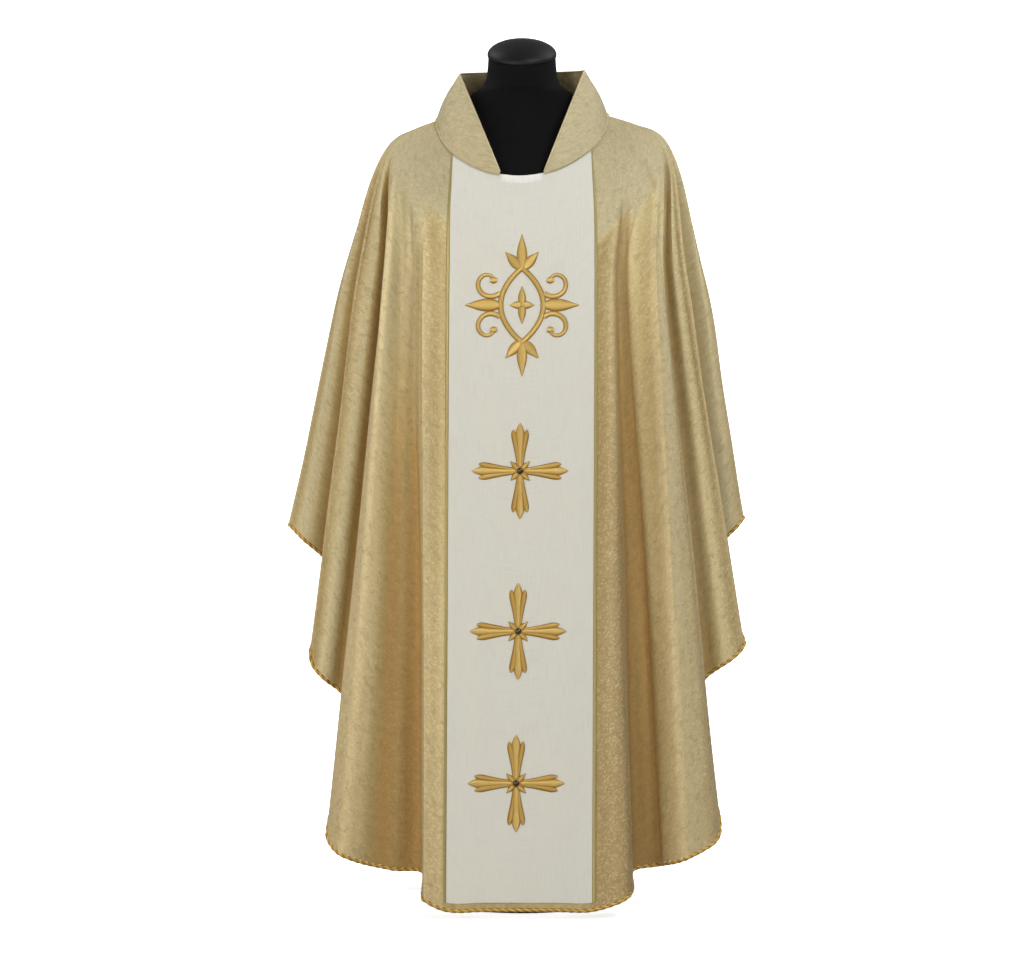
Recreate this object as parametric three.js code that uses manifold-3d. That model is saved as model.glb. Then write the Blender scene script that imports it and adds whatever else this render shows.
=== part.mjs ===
// A chasuble on a limbless dress form. The cloth hangs from the form's shoulders in fold lines that run from the
// neck seam over the shoulder to the hem, and the hem climbs from the front panel's foot to a tip at each side.
// Millimetres, +Z up, the front faces -Y. The origin is the middle of the stand's foot, on the floor.
import * as THREE from "three";
import { mergeVertices } from "three/addons/utils/BufferGeometryUtils.js";
import Module from "manifold-3d";

const wasm = await Module();
wasm.setup();

// Driving dimensions of the cloth.
const clothThickness = 2;
const orphreyThickness = 1;
const collarThickness = 3;
const seamGap = 0.3;
const collarGap = 0.95;
const hemCordRadius = 2.5;
const hemCordGap = 2.65;
const braidWidth = 5;
const braidThickness = 1.4;
const braidLift = 0.3;

// The neck seam, the yoke edge where the cloth leaves the form, and the level where folds are set at the chest.
// The cloth sits a little higher on the right shoulder, by rightLift.
const neckSeam = {
  halfWidth: 134,
  front: 110,
  back: 100,
  sideHeight: 1245,
  frontDrop: 99,
  backRise: 14,
};
const yokeEdge = {
  left: 209,
  right: 225,
  front: 138,
  back: 130,
  sideHeight: 1209,
  frontDrop: 138,
  backDrop: 92,
  squareness: 2.5,
};
const rightLift = 8;
const shoulderCrown = 4;
const chestFullness = 3;
const chestHeight = 1000;
const orphreyOut = clothThickness / 2 + seamGap;

// One row for each fold line, walked from the front's middle round by the left side and the back.
// neck and yoke are angles from the front's middle in degrees, round the neck seam and the yoke edge.
// chest is where the line passes the chest level, and hem is where it ends.
const foldColumns = [
  "name", "neck", "yoke", "chestX", "chestY", "hemX", "hemY", "hemZ",
];
const foldRows = [
  ["middle", 0, 0, 0, -151, -5, -201, 18],
  ["orphreyQuarterL", 25, 11, -56, -150, -61, -201, 18],
  ["orphreyEdgeL", 54, 27, -112, -148, -116, -200, 18],
  ["panelRidgeL", 61, 41, -153, -147, -150, -200, 36],
  ["panelValleyL", 65, 48, -162, -122, -156, -134, 67],
  ["panelFlankL", 69, 55.5, -182, -126, -204, -132, 71],
  ["frontCrestL", 73, 64, -208, -140, -276, -154, 96],
  ["frontEdgeL", 76, 70, -215, -118, -305, -130, 126],
  ["frontValleyL", 79, 75, -202, -82, -256, -76, 302],
  ["sideRidgeL", 83, 80, -257, -80, -334, -68, 396],
  ["sideValleyL", 86.5, 85, -248, -38, -290, -36, 508],
  ["wingTipL", 90, 90, -285, 0, -372, 0, 602],
  ["backSideValleyL", 94, 97, -244, 40, -284, 36, 500],
  ["backSideRidgeL", 98, 104, -244, 88, -320, 70, 384],
  ["backValleyL", 103, 112, -194, 84, -248, 76, 268],
  ["backRidgeL", 110, 121, -198, 132, -288, 148, 118],
  ["backPanelValleyL", 126, 138, -128, 120, -142, 136, 58],
  ["backPanelRidgeL", 146, 156, -86, 144, -98, 192, 22],
  ["backMiddle", 180, 180, 4, 140, 6, 172, 18],
  ["backPanelRidgeR", 216, 206, 94, 145, 106, 194, 20],
  ["backPanelValleyR", 235, 222, 138, 118, 152, 132, 60],
  ["backRidgeR", 249, 239, 202, 130, 292, 144, 122],
  ["backValleyR", 256, 248, 200, 82, 254, 74, 284],
  ["backSideRidgeR", 261, 256, 246, 86, 328, 68, 408],
  ["backSideValleyR", 266, 263, 244, 38, 278, 36, 505],
  ["wingTipR", 270, 270, 290, 0, 355, 0, 614],
  ["sideValleyR", 273.5, 275, 250, -40, 282, -38, 513],
  ["sideRidgeR", 277, 280, 257, -84, 349, -70, 420],
  ["frontValleyR", 281, 285, 212, -84, 268, -76, 336],
  ["frontEdgeR", 284, 290, 224, -126, 308, -126, 126],
  ["frontCrestR", 288, 297.7, 205, -146, 250, -160, 90],
  ["panelCreaseR", 293, 314.5, 166, -112, 214, -116, 75],
  ["panelValleyR", 296.5, 320, 152, -118, 176, -126, 69],
  ["panelRidgeR", 300, 325.5, 141, -147, 162, -198, 38],
  ["orphreyEdgeR", 306, 335.4, 112, -148, 107, -200, 18],
  ["orphreyQuarterR", 335, 349.9, 56, -150, 51, -201, 18],
];
const folds = foldRows.map((row) =>
  Object.fromEntries(foldColumns.map((column, i) => [column, row[i]])),
);
const foldAt = (name) => folds.findIndex((fold) => fold.name === name);

// Steps along a fold line in each of its stretches: seam to shoulder, shoulder to yoke edge, yoke edge to chest,
// and the two halves of the fall to the hem. Steps across are from one fold line to the next.
const stepsDown = [2, 2, 3, 3, 3];
const stepsAcross = 3;

const vec = (x, y, z) => new THREE.Vector3(x, y, z);
const mix = (a, b, share) => a + (b - a) * share;
const radians = THREE.MathUtils.degToRad;

// A point on the neck seam: an oval that dips at the front and rises a little at the nape.
function neckPoint(degrees) {
  const across = -Math.sin(radians(degrees));
  const forward = Math.cos(radians(degrees));
  const depth = forward > 0 ? neckSeam.front : neckSeam.back;
  const drop = forward > 0 ? neckSeam.frontDrop : neckSeam.backRise;
  return vec(
    neckSeam.halfWidth * across,
    -depth * forward,
    neckSeam.sideHeight - drop * forward + rightLift * Math.max(across, 0),
  );
}

// A point on the yoke edge: a squared oval, lower at the chest and at the shoulder blades than at the shoulders.
function yokePoint(degrees) {
  const power = 2 / yokeEdge.squareness;
  const across = -Math.sin(radians(degrees));
  const forward = Math.cos(radians(degrees));
  const halfWidth = across < 0 ? yokeEdge.left : yokeEdge.right;
  const depth = forward > 0 ? yokeEdge.front : yokeEdge.back;
  const drop = forward > 0 ? yokeEdge.frontDrop : yokeEdge.backDrop;
  return vec(
    Math.sign(across) * halfWidth * Math.abs(across) ** power,
    -Math.sign(forward) * depth * Math.abs(forward) ** power,
    yokeEdge.sideHeight -
      drop * Math.abs(forward) ** 1.4 +
      rightLift * Math.max(across, 0),
  );
}

// The shoulder point halves the way from seam to yoke edge and stands a little proud, over the shoulder's crown.
function shoulderPoint(neckDegrees, yokeDegrees) {
  const side = Math.abs(Math.sin(radians(yokeDegrees)));
  const forward = Math.cos(radians(yokeDegrees));
  return neckPoint(neckDegrees)
    .lerp(yokePoint(yokeDegrees), 0.5)
    .add(vec(0, -chestFullness * forward, shoulderCrown * side));
}

// One fold line as a smooth curve through its points.
function foldLine(fold) {
  const chest = vec(fold.chestX, fold.chestY, chestHeight);
  const hem = vec(fold.hemX, fold.hemY, fold.hemZ);
  const points = [
    neckPoint(fold.neck),
    shoulderPoint(fold.neck, fold.yoke),
    yokePoint(fold.yoke),
    chest,
    chest.clone().lerp(hem, 0.5),
    hem,
  ];
  return new THREE.CatmullRomCurve3(points, false, "centripetal");
}
const foldLines = folds.map(foldLine);

// The cloth's middle surface. along runs from fold line to fold line and wraps round at their number, and down
// runs from 0 at the neck seam to 1 at the hem.
function clothPoint(along, down) {
  const ring = foldLines.map((line) => line.getPoint(down));
  const turn = (along / folds.length) % 1;
  const curve = new THREE.CatmullRomCurve3(ring, true, "centripetal");
  return curve.getPoint(turn < 0 ? turn + 1 : turn);
}

function clothNormal(along, down) {
  const step = 0.02;
  const above = Math.max(down - step, 0);
  const below = Math.min(down + step, 1);
  const acrossWay = clothPoint(along + step, down).sub(
    clothPoint(along - step, down),
  );
  const downWay = clothPoint(along, below).sub(clothPoint(along, above));
  return acrossWay.cross(downWay).normalize();
}

// Shares from 0 to 1 down a fold line, one for each row of a panel.
function rowShares() {
  const shares = [0];
  stepsDown.forEach((steps, stretch) => {
    for (let i = 1; i <= steps; i += 1) {
      shares.push((stretch + i / steps) / stepsDown.length);
    }
  });
  return shares;
}

// The cloth as a grid of points and normals, one row for each share and stepsAcross columns for each fold.
const columnCount = folds.length * stepsAcross;
const cloth = rowShares().map((down) =>
  Array.from({ length: columnCount }, (_, column) => ({
    point: clothPoint(column / stepsAcross, down),
    normal: clothNormal(column / stepsAcross, down),
  })),
);
const lastRow = cloth.length - 1;

// A point on the facets of the cloth's grid, moved out from the middle surface. Row and column may be fractions.
function onCloth(row, column, out) {
  const r = Math.min(Math.floor(row), lastRow - 1);
  const c = Math.floor(column);
  const corner = (i, j) => {
    const turn = ((j % columnCount) + columnCount) % columnCount;
    const { point, normal } = cloth[i][turn];
    return point.clone().addScaledVector(normal, out);
  };
  const upper = corner(r, c).lerp(corner(r, c + 1), column - c);
  const lower = corner(r + 1, c).lerp(corner(r + 1, c + 1), column - c);
  return upper.lerp(lower, row - r);
}

// Whole numbers from the first to the last, both included.
const countUp = (first, last) =>
  Array.from({ length: last - first + 1 }, (_, i) => first + i);

const clothGrid = (gridRows, columns, out) =>
  gridRows.map((row) => columns.map((column) => onCloth(row, column, out)));

// Faces of a closed skin over two matching grids, the outer one facing out, joined round their four edges.
function skin(outer, inner) {
  const rowCount = outer.length;
  const columnCount = outer[0].length;
  const points = [...outer.flat(), ...inner.flat()];
  const out = (r, c) => r * columnCount + c;
  const inn = (r, c) => rowCount * columnCount + out(r, c);
  const faces = [];
  const quad = (a, b, c, d) => faces.push(a, b, c, a, c, d);
  for (let r = 0; r + 1 < rowCount; r += 1) {
    for (let c = 0; c + 1 < columnCount; c += 1) {
      quad(out(r, c), out(r, c + 1), out(r + 1, c + 1), out(r + 1, c));
      quad(inn(r, c), inn(r + 1, c), inn(r + 1, c + 1), inn(r, c + 1));
    }
    const last = columnCount - 1;
    quad(out(r, 0), out(r + 1, 0), inn(r + 1, 0), inn(r, 0));
    quad(out(r, last), inn(r, last), inn(r + 1, last), out(r + 1, last));
  }
  for (let c = 0; c + 1 < columnCount; c += 1) {
    const last = rowCount - 1;
    quad(out(0, c), inn(0, c), inn(0, c + 1), out(0, c + 1));
    quad(out(last, c), out(last, c + 1), inn(last, c + 1), inn(last, c));
  }
  return indexed(points, faces);
}

// Faces of a closed tube: rings of matching points, capped by a fan from each end ring's middle.
function tube(rings) {
  const around = rings[0].length;
  const points = rings.flat();
  const faces = [];
  for (let r = 0; r + 1 < rings.length; r += 1) {
    for (let k = 0; k < around; k += 1) {
      const a = r * around + k;
      const b = r * around + ((k + 1) % around);
      faces.push(a, b, b + around, a, b + around, a + around);
    }
  }
  const middle = (ring) =>
    ring.reduce((sum, p) => sum.add(p), vec(0, 0, 0)).divideScalar(around);
  const first = points.push(middle(rings[0])) - 1;
  const last = points.push(middle(rings.at(-1))) - 1;
  const end = (rings.length - 1) * around;
  for (let k = 0; k < around; k += 1) {
    const next = (k + 1) % around;
    faces.push(first, next, k, last, end + k, end + next);
  }
  return indexed(points, faces);
}

function indexed(points, faces) {
  const geometry = new THREE.BufferGeometry();
  geometry.setFromPoints(points);
  geometry.setIndex(faces);
  return outwards(geometry);
}

// Turns the faces round if they enclose a negative volume.
function outwards(geometry) {
  const place = geometry.getAttribute("position");
  const index = geometry.getIndex().array;
  const corner = (i) => vec().fromBufferAttribute(place, index[i]);
  let volume = 0;
  for (let i = 0; i < index.length; i += 3) {
    volume += corner(i).dot(corner(i + 1).cross(corner(i + 2)));
  }
  if (volume < 0) {
    for (let i = 0; i < index.length; i += 3) {
      [index[i + 1], index[i + 2]] = [index[i + 2], index[i + 1]];
    }
  }
  geometry.computeVertexNormals();
  return geometry;
}

// A cloth panel between two fold lines. Each seam edge is drawn back along the cloth by the seam's gap.
function panel(first, last) {
  const columns = countUp(first * stepsAcross, last * stepsAcross);
  const drawBack = (edge, next) =>
    edge.add(next.clone().sub(edge).setLength(seamGap));
  const side = (out) => {
    const grid = clothGrid(countUp(0, lastRow), columns, out);
    for (const line of grid) {
      drawBack(line[0], line[1]);
      drawBack(line.at(-1), line.at(-2));
    }
    return grid;
  };
  return skin(side(clothThickness / 2), side(-clothThickness / 2));
}

// The collar stands on the neck seam, from one front end round the nape to the other. Its front edges rise from
// the foot of the opening to a peak beside the neck, and its top edge passes behind the neck. lapRow is how far
// down the first row of the cloth its lower edge reaches. The rise bulges by bulge where it is bulgeHeight or taller.
const collar = {
  endColumn: 1.8,
  peakDegrees: 76,
  peakLeft: [-98, -16, 1317],
  peakRight: [98, -16, 1323],
  napeY: 76,
  napeZ: 1332,
  endHeight: 5,
  lapRow: 0.2,
  bulge: 5,
  bulgeHeight: 90,
  edgeCurve: 12,
  crowdedSpan: 4.5,
  shares: [0.3, 0.55, 0.8, 1],
};

// The angle round the neck at any column.
function neckDegreesAt(column) {
  const along = column / stepsAcross;
  const line = Math.min(Math.floor(along), folds.length - 1);
  const next = line + 1 < folds.length ? folds[line + 1].neck : 360;
  return mix(folds[line].neck, next, along - line);
}

// The collar's columns are the cloth's, thinned where the fold lines crowd together at the shoulders.
function collarColumns() {
  const end = columnCount - collar.endColumn;
  const columns = [collar.endColumn];
  folds.forEach((fold, line) => {
    const start = line * stepsAcross;
    const span = neckDegreesAt(start + stepsAcross) - fold.neck;
    const step = span > collar.crowdedSpan ? 1 : stepsAcross;
    for (let i = 0; i < stepsAcross; i += step) {
      const column = start + i;
      if (column > collar.endColumn && column < end) columns.push(column);
    }
  });
  columns.push(end);
  return columns;
}

// The collar's upper edge above a place on the neck seam.
function collarTop(column) {
  const degrees = neckDegreesAt(column);
  const endDegrees = neckDegreesAt(collar.endColumn);
  const fromFront = Math.min(degrees, 360 - degrees);
  const peak = vec(...(degrees < 180 ? collar.peakLeft : collar.peakRight));
  if (fromFront < collar.peakDegrees) {
    const share = (fromFront - endDegrees) / (collar.peakDegrees - endDegrees);
    const foot = neckPoint(endDegrees);
    foot.x = Math.sign(peak.x) * Math.abs(foot.x);
    foot.z += collar.endHeight;
    const edge = foot.lerp(peak, share);
    edge.y -= collar.edgeCurve * Math.sin(Math.PI * share);
    return edge;
  }
  const behind = (fromFront - collar.peakDegrees) / (180 - collar.peakDegrees);
  const turn = (behind * Math.PI) / 2;
  return vec(
    peak.x * Math.cos(turn),
    mix(peak.y, collar.napeY, Math.sin(turn)),
    mix(peak.z, collar.napeZ, Math.sin(turn)),
  );
}

// The collar lies over the orphrey's head at the front, and on the cloth from there on.
function collarOut(column) {
  const fromFront = Math.min(column, columnCount - column);
  const onOrphrey = fromFront <= stepsAcross * foldAt("orphreyEdgeL");
  const base = onOrphrey ? orphreyOut + orphreyThickness : clothThickness / 2;
  return base + collarGap;
}

// The inner face of the collar: a lap on the cloth, the seam, and the rise to the upper edge.
function collarInner() {
  const columns = collarColumns();
  const lineAt = (row) =>
    columns.map((column) => onCloth(row, column, collarOut(column)));
  const seam = lineAt(0);
  const lap = lineAt(collar.lapRow);
  const rise = collar.shares.map((share) =>
    columns.map((column, i) => {
      const top = collarTop(column);
      const height = top.distanceTo(seam[i]);
      const away = vec(seam[i].x, seam[i].y, 0).normalize();
      const bulge = collar.bulge * Math.min(height / collar.bulgeHeight, 1);
      return seam[i]
        .clone()
        .lerp(top, share)
        .addScaledVector(away, bulge * Math.sin(Math.PI * share));
    }),
  );
  return [lap, seam, ...rise];
}

// Moves a grid along its own normals.
function offsetGrid(grid, distance) {
  const rowCount = grid.length;
  const columnCount = grid[0].length;
  return grid.map((line, r) =>
    line.map((point, c) => {
      const acrossWay = grid[r][Math.min(c + 1, columnCount - 1)]
        .clone()
        .sub(grid[r][Math.max(c - 1, 0)]);
      const downWay = grid[Math.min(r + 1, rowCount - 1)][c]
        .clone()
        .sub(grid[Math.max(r - 1, 0)][c]);
      const normal = acrossWay.cross(downWay).normalize();
      return point.clone().addScaledVector(normal, distance);
    }),
  );
}

// The orphrey is a stiff band on the front panel, from the neck seam to just above the hem.
const orphreyTop = 0.02;
const orphreyFoot = lastRow - 0.02;
const orphreyEdges = {
  left: foldAt("orphreyEdgeL") * stepsAcross,
  right: foldAt("orphreyEdgeR") * stepsAcross - columnCount,
};

function orphreyGrid(out) {
  const columns = countUp(orphreyEdges.right, orphreyEdges.left);
  const gridRows = [orphreyTop, ...countUp(1, lastRow - 1), orphreyFoot];
  return clothGrid(gridRows, columns, out);
}

// A braid along one long edge of the orphrey, lying on the front panel just outside the orphrey.
function braid(edge) {
  const side = Math.sign(edge);
  const braidTop = collar.lapRow + 0.05;
  const rowsDown = [braidTop, ...countUp(1, lastRow - 1), orphreyFoot];
  const rings = rowsDown.map((row) => {
    const columnWidth = onCloth(row, edge, 0).distanceTo(
      onCloth(row, edge + side, 0),
    );
    const corner = (across, out) =>
      onCloth(row, edge + (side * across) / columnWidth, orphreyOut + out);
    const near = seamGap + 0.2;
    const roundedEdge = braidWidth / 5;
    return [
      corner(near, braidLift),
      corner(near + braidWidth, braidLift),
      corner(near + braidWidth - roundedEdge, braidThickness),
      corner(near + roundedEdge, braidThickness),
    ];
  });
  return tube(rings);
}

// The hem's cord runs just below the cloth's edge, with a section of a few sides. Each ring of it lies in the plane
// that halves the bend of the edge there, and an end is drawn back from the next cord's end.
function hemCord(first, last) {
  const sides = 5;
  const sharpestMitre = 0.6;
  const columns = countUp(first * stepsAcross, last * stepsAcross);
  const rings = columns.map((column, i) => {
    const edge = onCloth(lastRow, column, 0);
    const before = edge.clone().sub(onCloth(lastRow, column - 1, 0)).normalize();
    const after = onCloth(lastRow, column + 1, 0).sub(edge).normalize();
    const hemWay = before.clone().add(after).normalize();
    const normal = onCloth(lastRow, column, 1).sub(edge).normalize();
    const down = normal.clone().cross(hemWay).normalize();
    const mitre = Math.max(hemWay.dot(before), sharpestMitre);
    const drop = (hemCordRadius + hemCordGap) / mitre;
    const middle = edge.addScaledVector(down, drop);
    if (i === 0) middle.addScaledVector(hemWay, seamGap);
    if (i === columns.length - 1) middle.addScaledVector(hemWay, -seamGap);
    return Array.from({ length: sides }, (_, k) => {
      const turn = (2 * Math.PI * (k + 0.5)) / sides;
      return middle
        .clone()
        .addScaledVector(down, -hemCordRadius * Math.cos(turn))
        .addScaledVector(normal, hemCordRadius * Math.sin(turn));
    });
  });
  return tube(rings);
}

// A function that gives the point in front of the orphrey at a width and a height, and the way out from it.
function orphreyFace() {
  const outer = orphreyGrid(orphreyOut + orphreyThickness);
  const across = (line, x) => {
    let c = 0;
    while (c + 2 < line.length && line[c + 1].x > x) c += 1;
    const share = (x - line[c].x) / (line[c + 1].x - line[c].x);
    return line[c].clone().lerp(line[c + 1], share);
  };
  return (x, z) => {
    const levels = outer.map((line) => across(line, x));
    let r = 0;
    while (r + 2 < levels.length && levels[r + 1].z > z) r += 1;
    const share = (z - levels[r].z) / (levels[r + 1].z - levels[r].z);
    const point = levels[r].clone().lerp(levels[r + 1], share);
    const slope = (levels[r].y - levels[r + 1].y) / (levels[r].z - levels[r + 1].z);
    return { point, normal: vec(0, -1, slope).normalize() };
  };
}
const face = orphreyFace();

// Embroidery stands on the orphrey: a strip with a named half width at each station of its middle line. Its
// section is a low ridge, and its back stays just clear of the orphrey.
const embroidery = { gap: 0.6, edge: 0.5, crown: 2 };

function embroideredStrip(stations) {
  const rings = stations.map(({ x, z, half }, i) => {
    const before = stations[Math.max(i - 1, 0)];
    const after = stations[Math.min(i + 1, stations.length - 1)];
    const length = Math.hypot(after.x - before.x, after.z - before.z);
    const sideX = -(after.z - before.z) / length;
    const sideZ = (after.x - before.x) / length;
    const at = (across, out) => {
      const { point, normal } = face(
        x + sideX * half * across,
        z + sideZ * half * across,
      );
      return point.addScaledVector(normal, embroidery.gap + out);
    };
    return [
      at(-1, 0),
      at(1, 0),
      at(0.95, embroidery.edge),
      at(0, embroidery.crown),
      at(-0.95, embroidery.edge),
    ];
  });
  return tube(rings);
}

// Joins overlapping strips into one solid.
function joined(geometries) {
  const solids = geometries.map((geometry) => {
    const bare = geometry.clone();
    bare.deleteAttribute("normal");
    const merged = mergeVertices(bare, 1e-4);
    return new wasm.Manifold(
      new wasm.Mesh({
        numProp: 3,
        vertProperties: merged.getAttribute("position").array,
        triVerts: new Uint32Array(merged.getIndex().array),
      }),
    );
  });
  const mesh = solids.reduce((whole, next) => whole.add(next)).getMesh();
  const geometry = new THREE.BufferGeometry();
  geometry.setAttribute(
    "position",
    new THREE.BufferAttribute(mesh.vertProperties, mesh.numProp),
  );
  geometry.setIndex(new THREE.BufferAttribute(mesh.triVerts, 1));
  geometry.computeVertexNormals();
  return geometry;
}

// An embroidered cross: four arms that flare to a pointed end, and a square at the crossing turned on its corner.
const cross = { reach: 74, centreHalf: 19 };
const crossArm = [
  { share: 0, half: 6 },
  { share: 0.25, half: 6.5 },
  { share: 0.55, half: 9.5 },
  { share: 0.76, half: 13 },
  { share: 0.84, half: 11.5 },
  { share: 1, half: 1.2 },
];
const crossHeights = { upper: 686, middle: 440, lower: 208 };
const crossX = { upper: -3, middle: -6, lower: -9 };

function crossSolid(x, z) {
  const arms = [0, 90, 180, 270].map((degrees) =>
    embroideredStrip(
      crossArm.map(({ share, half }) => ({
        x: x + Math.cos(radians(degrees)) * cross.reach * share,
        z: z + Math.sin(radians(degrees)) * cross.reach * share,
        half,
      })),
    ),
  );
  const centre = embroideredStrip(
    [-1, -0.5, 0, 0.5, 1].map((share) => ({
      x: x + cross.centreHalf * share,
      z,
      half: Math.max(cross.centreHalf * (1 - Math.abs(share)), 1.2),
    })),
  );
  return joined([...arms, centre]);
}

// A round stone sewn over the crossing.
const stone = { radius: 5, height: 3.2, sides: 10 };

function stoneSolid(x, z) {
  const { point, normal } = face(x, z);
  const base = embroidery.gap + embroidery.crown + seamGap;
  const sideways = vec(1, 0, 0);
  const upwards = normal.clone().cross(sideways).normalize();
  const ring = (radius, out) =>
    Array.from({ length: stone.sides }, (_, k) => {
      const turn = (2 * Math.PI * k) / stone.sides;
      return point
        .clone()
        .addScaledVector(normal, base + out)
        .addScaledVector(sideways, radius * Math.cos(turn))
        .addScaledVector(upwards, radius * Math.sin(turn));
    });
  return tube([
    ring(stone.radius, 0),
    ring(stone.radius * 0.9, stone.height * 0.5),
    ring(stone.radius * 0.5, stone.height),
  ]);
}

// The embroidered ornament above the crosses: a pointed oval ring with a four-leaved flower, a leaf at the head
// and the foot, and a pair of scrolls on each side.
const ornament = {
  x: 0,
  z: 942,
  ringHalfWidth: 33,
  ringHalfHeight: 58,
  ringSteps: 8,
  stroke: 4.2,
};
const scroll = {
  x: 51,
  z: 35,
  startRadius: 24,
  endRadius: 8,
  startDegrees: -135,
  sweepDegrees: 290,
  steps: 10,
  endStroke: 2.8,
};

function leafStations(x, z, degrees, length, widest) {
  return [0, 0.18, 0.42, 0.7, 0.9, 1].map((share) => ({
    x: x + Math.cos(radians(degrees)) * length * share,
    z: z + Math.sin(radians(degrees)) * length * share,
    half: Math.max(widest * Math.sin(Math.PI * share ** 0.8), 1.4),
  }));
}

function ringSide(sideSign) {
  return Array.from({ length: ornament.ringSteps + 1 }, (_, i) => {
    const share = mix(-1, 1, i / ornament.ringSteps);
    return {
      x: ornament.x + sideSign * ornament.ringHalfWidth * (1 - share ** 2),
      z: ornament.z + ornament.ringHalfHeight * share,
      half: ornament.stroke,
    };
  });
}

function scrollStations(sideSign, upSign) {
  return Array.from({ length: scroll.steps + 1 }, (_, i) => {
    const share = i / scroll.steps;
    const turn = radians(scroll.startDegrees + scroll.sweepDegrees * share);
    const radius = mix(scroll.startRadius, scroll.endRadius, share);
    return {
      x: ornament.x + sideSign * (scroll.x + radius * Math.cos(turn)),
      z: ornament.z + upSign * (scroll.z + radius * Math.sin(turn)),
      half: mix(ornament.stroke, scroll.endStroke, share),
    };
  });
}

function ornamentSolid() {
  const strips = [ringSide(1), ringSide(-1)];
  for (const sideSign of [1, -1]) {
    for (const upSign of [1, -1]) {
      strips.push(scrollStations(sideSign, upSign));
    }
    const outwardDegrees = sideSign > 0 ? 0 : 180;
    strips.push(
      leafStations(
        ornament.x + sideSign * 28, ornament.z, outwardDegrees, 60, 10,
      ),
    );
  }
  for (const upSign of [1, -1]) {
    const foot = ornament.z + upSign * (ornament.ringHalfHeight - 4);
    for (const lean of [-42, 0, 42]) {
      const length = lean ? 38 : 56;
      strips.push(
        leafStations(ornament.x, foot, upSign * (90 + lean), length, 8),
      );
    }
  }
  return joined(strips.map(embroideredStrip));
}

function flowerSolid() {
  return joined(
    [0, 90, 180, 270].map((degrees) =>
      embroideredStrip(
        leafStations(
          ornament.x - 3 * Math.cos(radians(degrees)),
          ornament.z - 3 * Math.sin(radians(degrees)),
          degrees,
          degrees % 180 ? 32 : 22,
          6,
        ),
      ),
    ),
  );
}

// The dress form: one row for each level of its body, as half sizes of a squared oval. tilt lowers the front edge
// and raises the back edge of a level.
const formColumns = ["height", "halfWidth", "front", "back", "tilt"];
const formRows = [
  [600, 138, 92, 92, 0],
  [612, 150, 104, 104, 0],
  [700, 160, 112, 116, 0],
  [800, 150, 104, 104, 0],
  [880, 140, 96, 92, 0],
  [980, 156, 112, 102, 0],
  [1060, 172, 118, 110, 0],
  [1110, 184, 112, 112, 0],
  [1150, 190, 98, 106, 0],
  [1185, 184, 76, 94, 0],
  [1210, 158, 60, 85, 0],
  [1232, 130, 50.5, 77, 0],
  [1254, 106, 47, 70, 0],
  [1275, 92, 48, 66, 0],
  [1290, 78, 50, 62, 2],
  [1299, 65, 52, 60, 5],
  [1310, 58, 53, 58, 9],
  [1330, 55, 54, 57, 14],
  [1346, 54, 54, 56, 20],
];
const formSides = 24;

function formRing([height, halfWidth, front, back, tilt], grow = 0) {
  return Array.from({ length: formSides }, (_, k) => {
    const turn = (2 * Math.PI * k) / formSides;
    const forward = Math.cos(turn);
    const fullDepth = forward > 0 ? front : back;
    const depth = fullDepth + grow;
    return vec(
      (halfWidth + grow) * Math.sin(turn),
      -depth * forward,
      height - (tilt * forward * depth) / fullDepth,
    );
  });
}

// The neck's cap follows the slanted top of the neck, with a rounded rim and a low crown.
function neckCap() {
  const top = formRows.at(-1);
  const levels = [
    { lift: 0.4, grow: -1 },
    { lift: 2, grow: 1 },
    { lift: 8, grow: 1 },
    { lift: 15, grow: -4 },
    { lift: 22, grow: -16 },
    { lift: 26, grow: -30 },
    { lift: 28, grow: -44 },
  ];
  return tube(
    levels.map(({ lift, grow }) =>
      formRing([top[0] + lift, top[1], top[2], top[3], top[4]], grow),
    ),
  );
}

// The stand: a pole from the form's underside into a hub on a thin round foot.
const stand = {
  poleRadius: 14,
  poleTop: 599.7,
  hubRadius: 26,
  hubHeight: 34,
  footRadius: 140,
  footEdge: 4,
  footThickness: 7,
};

function lathe(profile, segments) {
  const points = profile.map(([radius, height]) => new THREE.Vector2(radius, height));
  const geometry = new THREE.LatheGeometry(points, segments);
  geometry.rotateX(Math.PI / 2);
  geometry.deleteAttribute("normal");
  geometry.deleteAttribute("uv");
  return outwards(mergeVertices(geometry, 1e-3));
}

function footSolid() {
  return lathe(
    [
      [0, 0],
      [stand.footRadius, 0],
      [stand.footRadius, stand.footEdge],
      [stand.footRadius - 8, stand.footThickness],
      [stand.hubRadius + 6, stand.footThickness + 2],
      [stand.hubRadius, stand.footThickness + 8],
      [stand.hubRadius, stand.hubHeight],
      [0, stand.hubHeight],
    ],
    36,
  );
}

function poleSolid() {
  const bottom = stand.hubHeight + 0.2;
  return lathe(
    [
      [0, bottom],
      [stand.poleRadius, bottom],
      [stand.poleRadius, stand.poleTop],
      [0, stand.poleTop],
    ],
    20,
  );
}

const material = (color, roughness, metalness = 0) =>
  new THREE.MeshStandardMaterial({ color, roughness, metalness });
const finishes = {
  brocade: material(0xc6ae78, 0.5, 0.25),
  ivory: material(0xe4e0d4, 0.8),
  gold: material(0xb8862e, 0.4, 0.4),
  stone: material(0x4a2413, 0.2),
  jersey: material(0x151517, 0.9),
  cap: material(0x1b1a1c, 0.35),
  metal: material(0x2a2a2c, 0.4, 0.7),
};

const chasuble = new THREE.Group();

function add(name, geometry, finish) {
  const mesh = new THREE.Mesh(geometry, finishes[finish]);
  mesh.name = name;
  chasuble.add(mesh);
}

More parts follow.
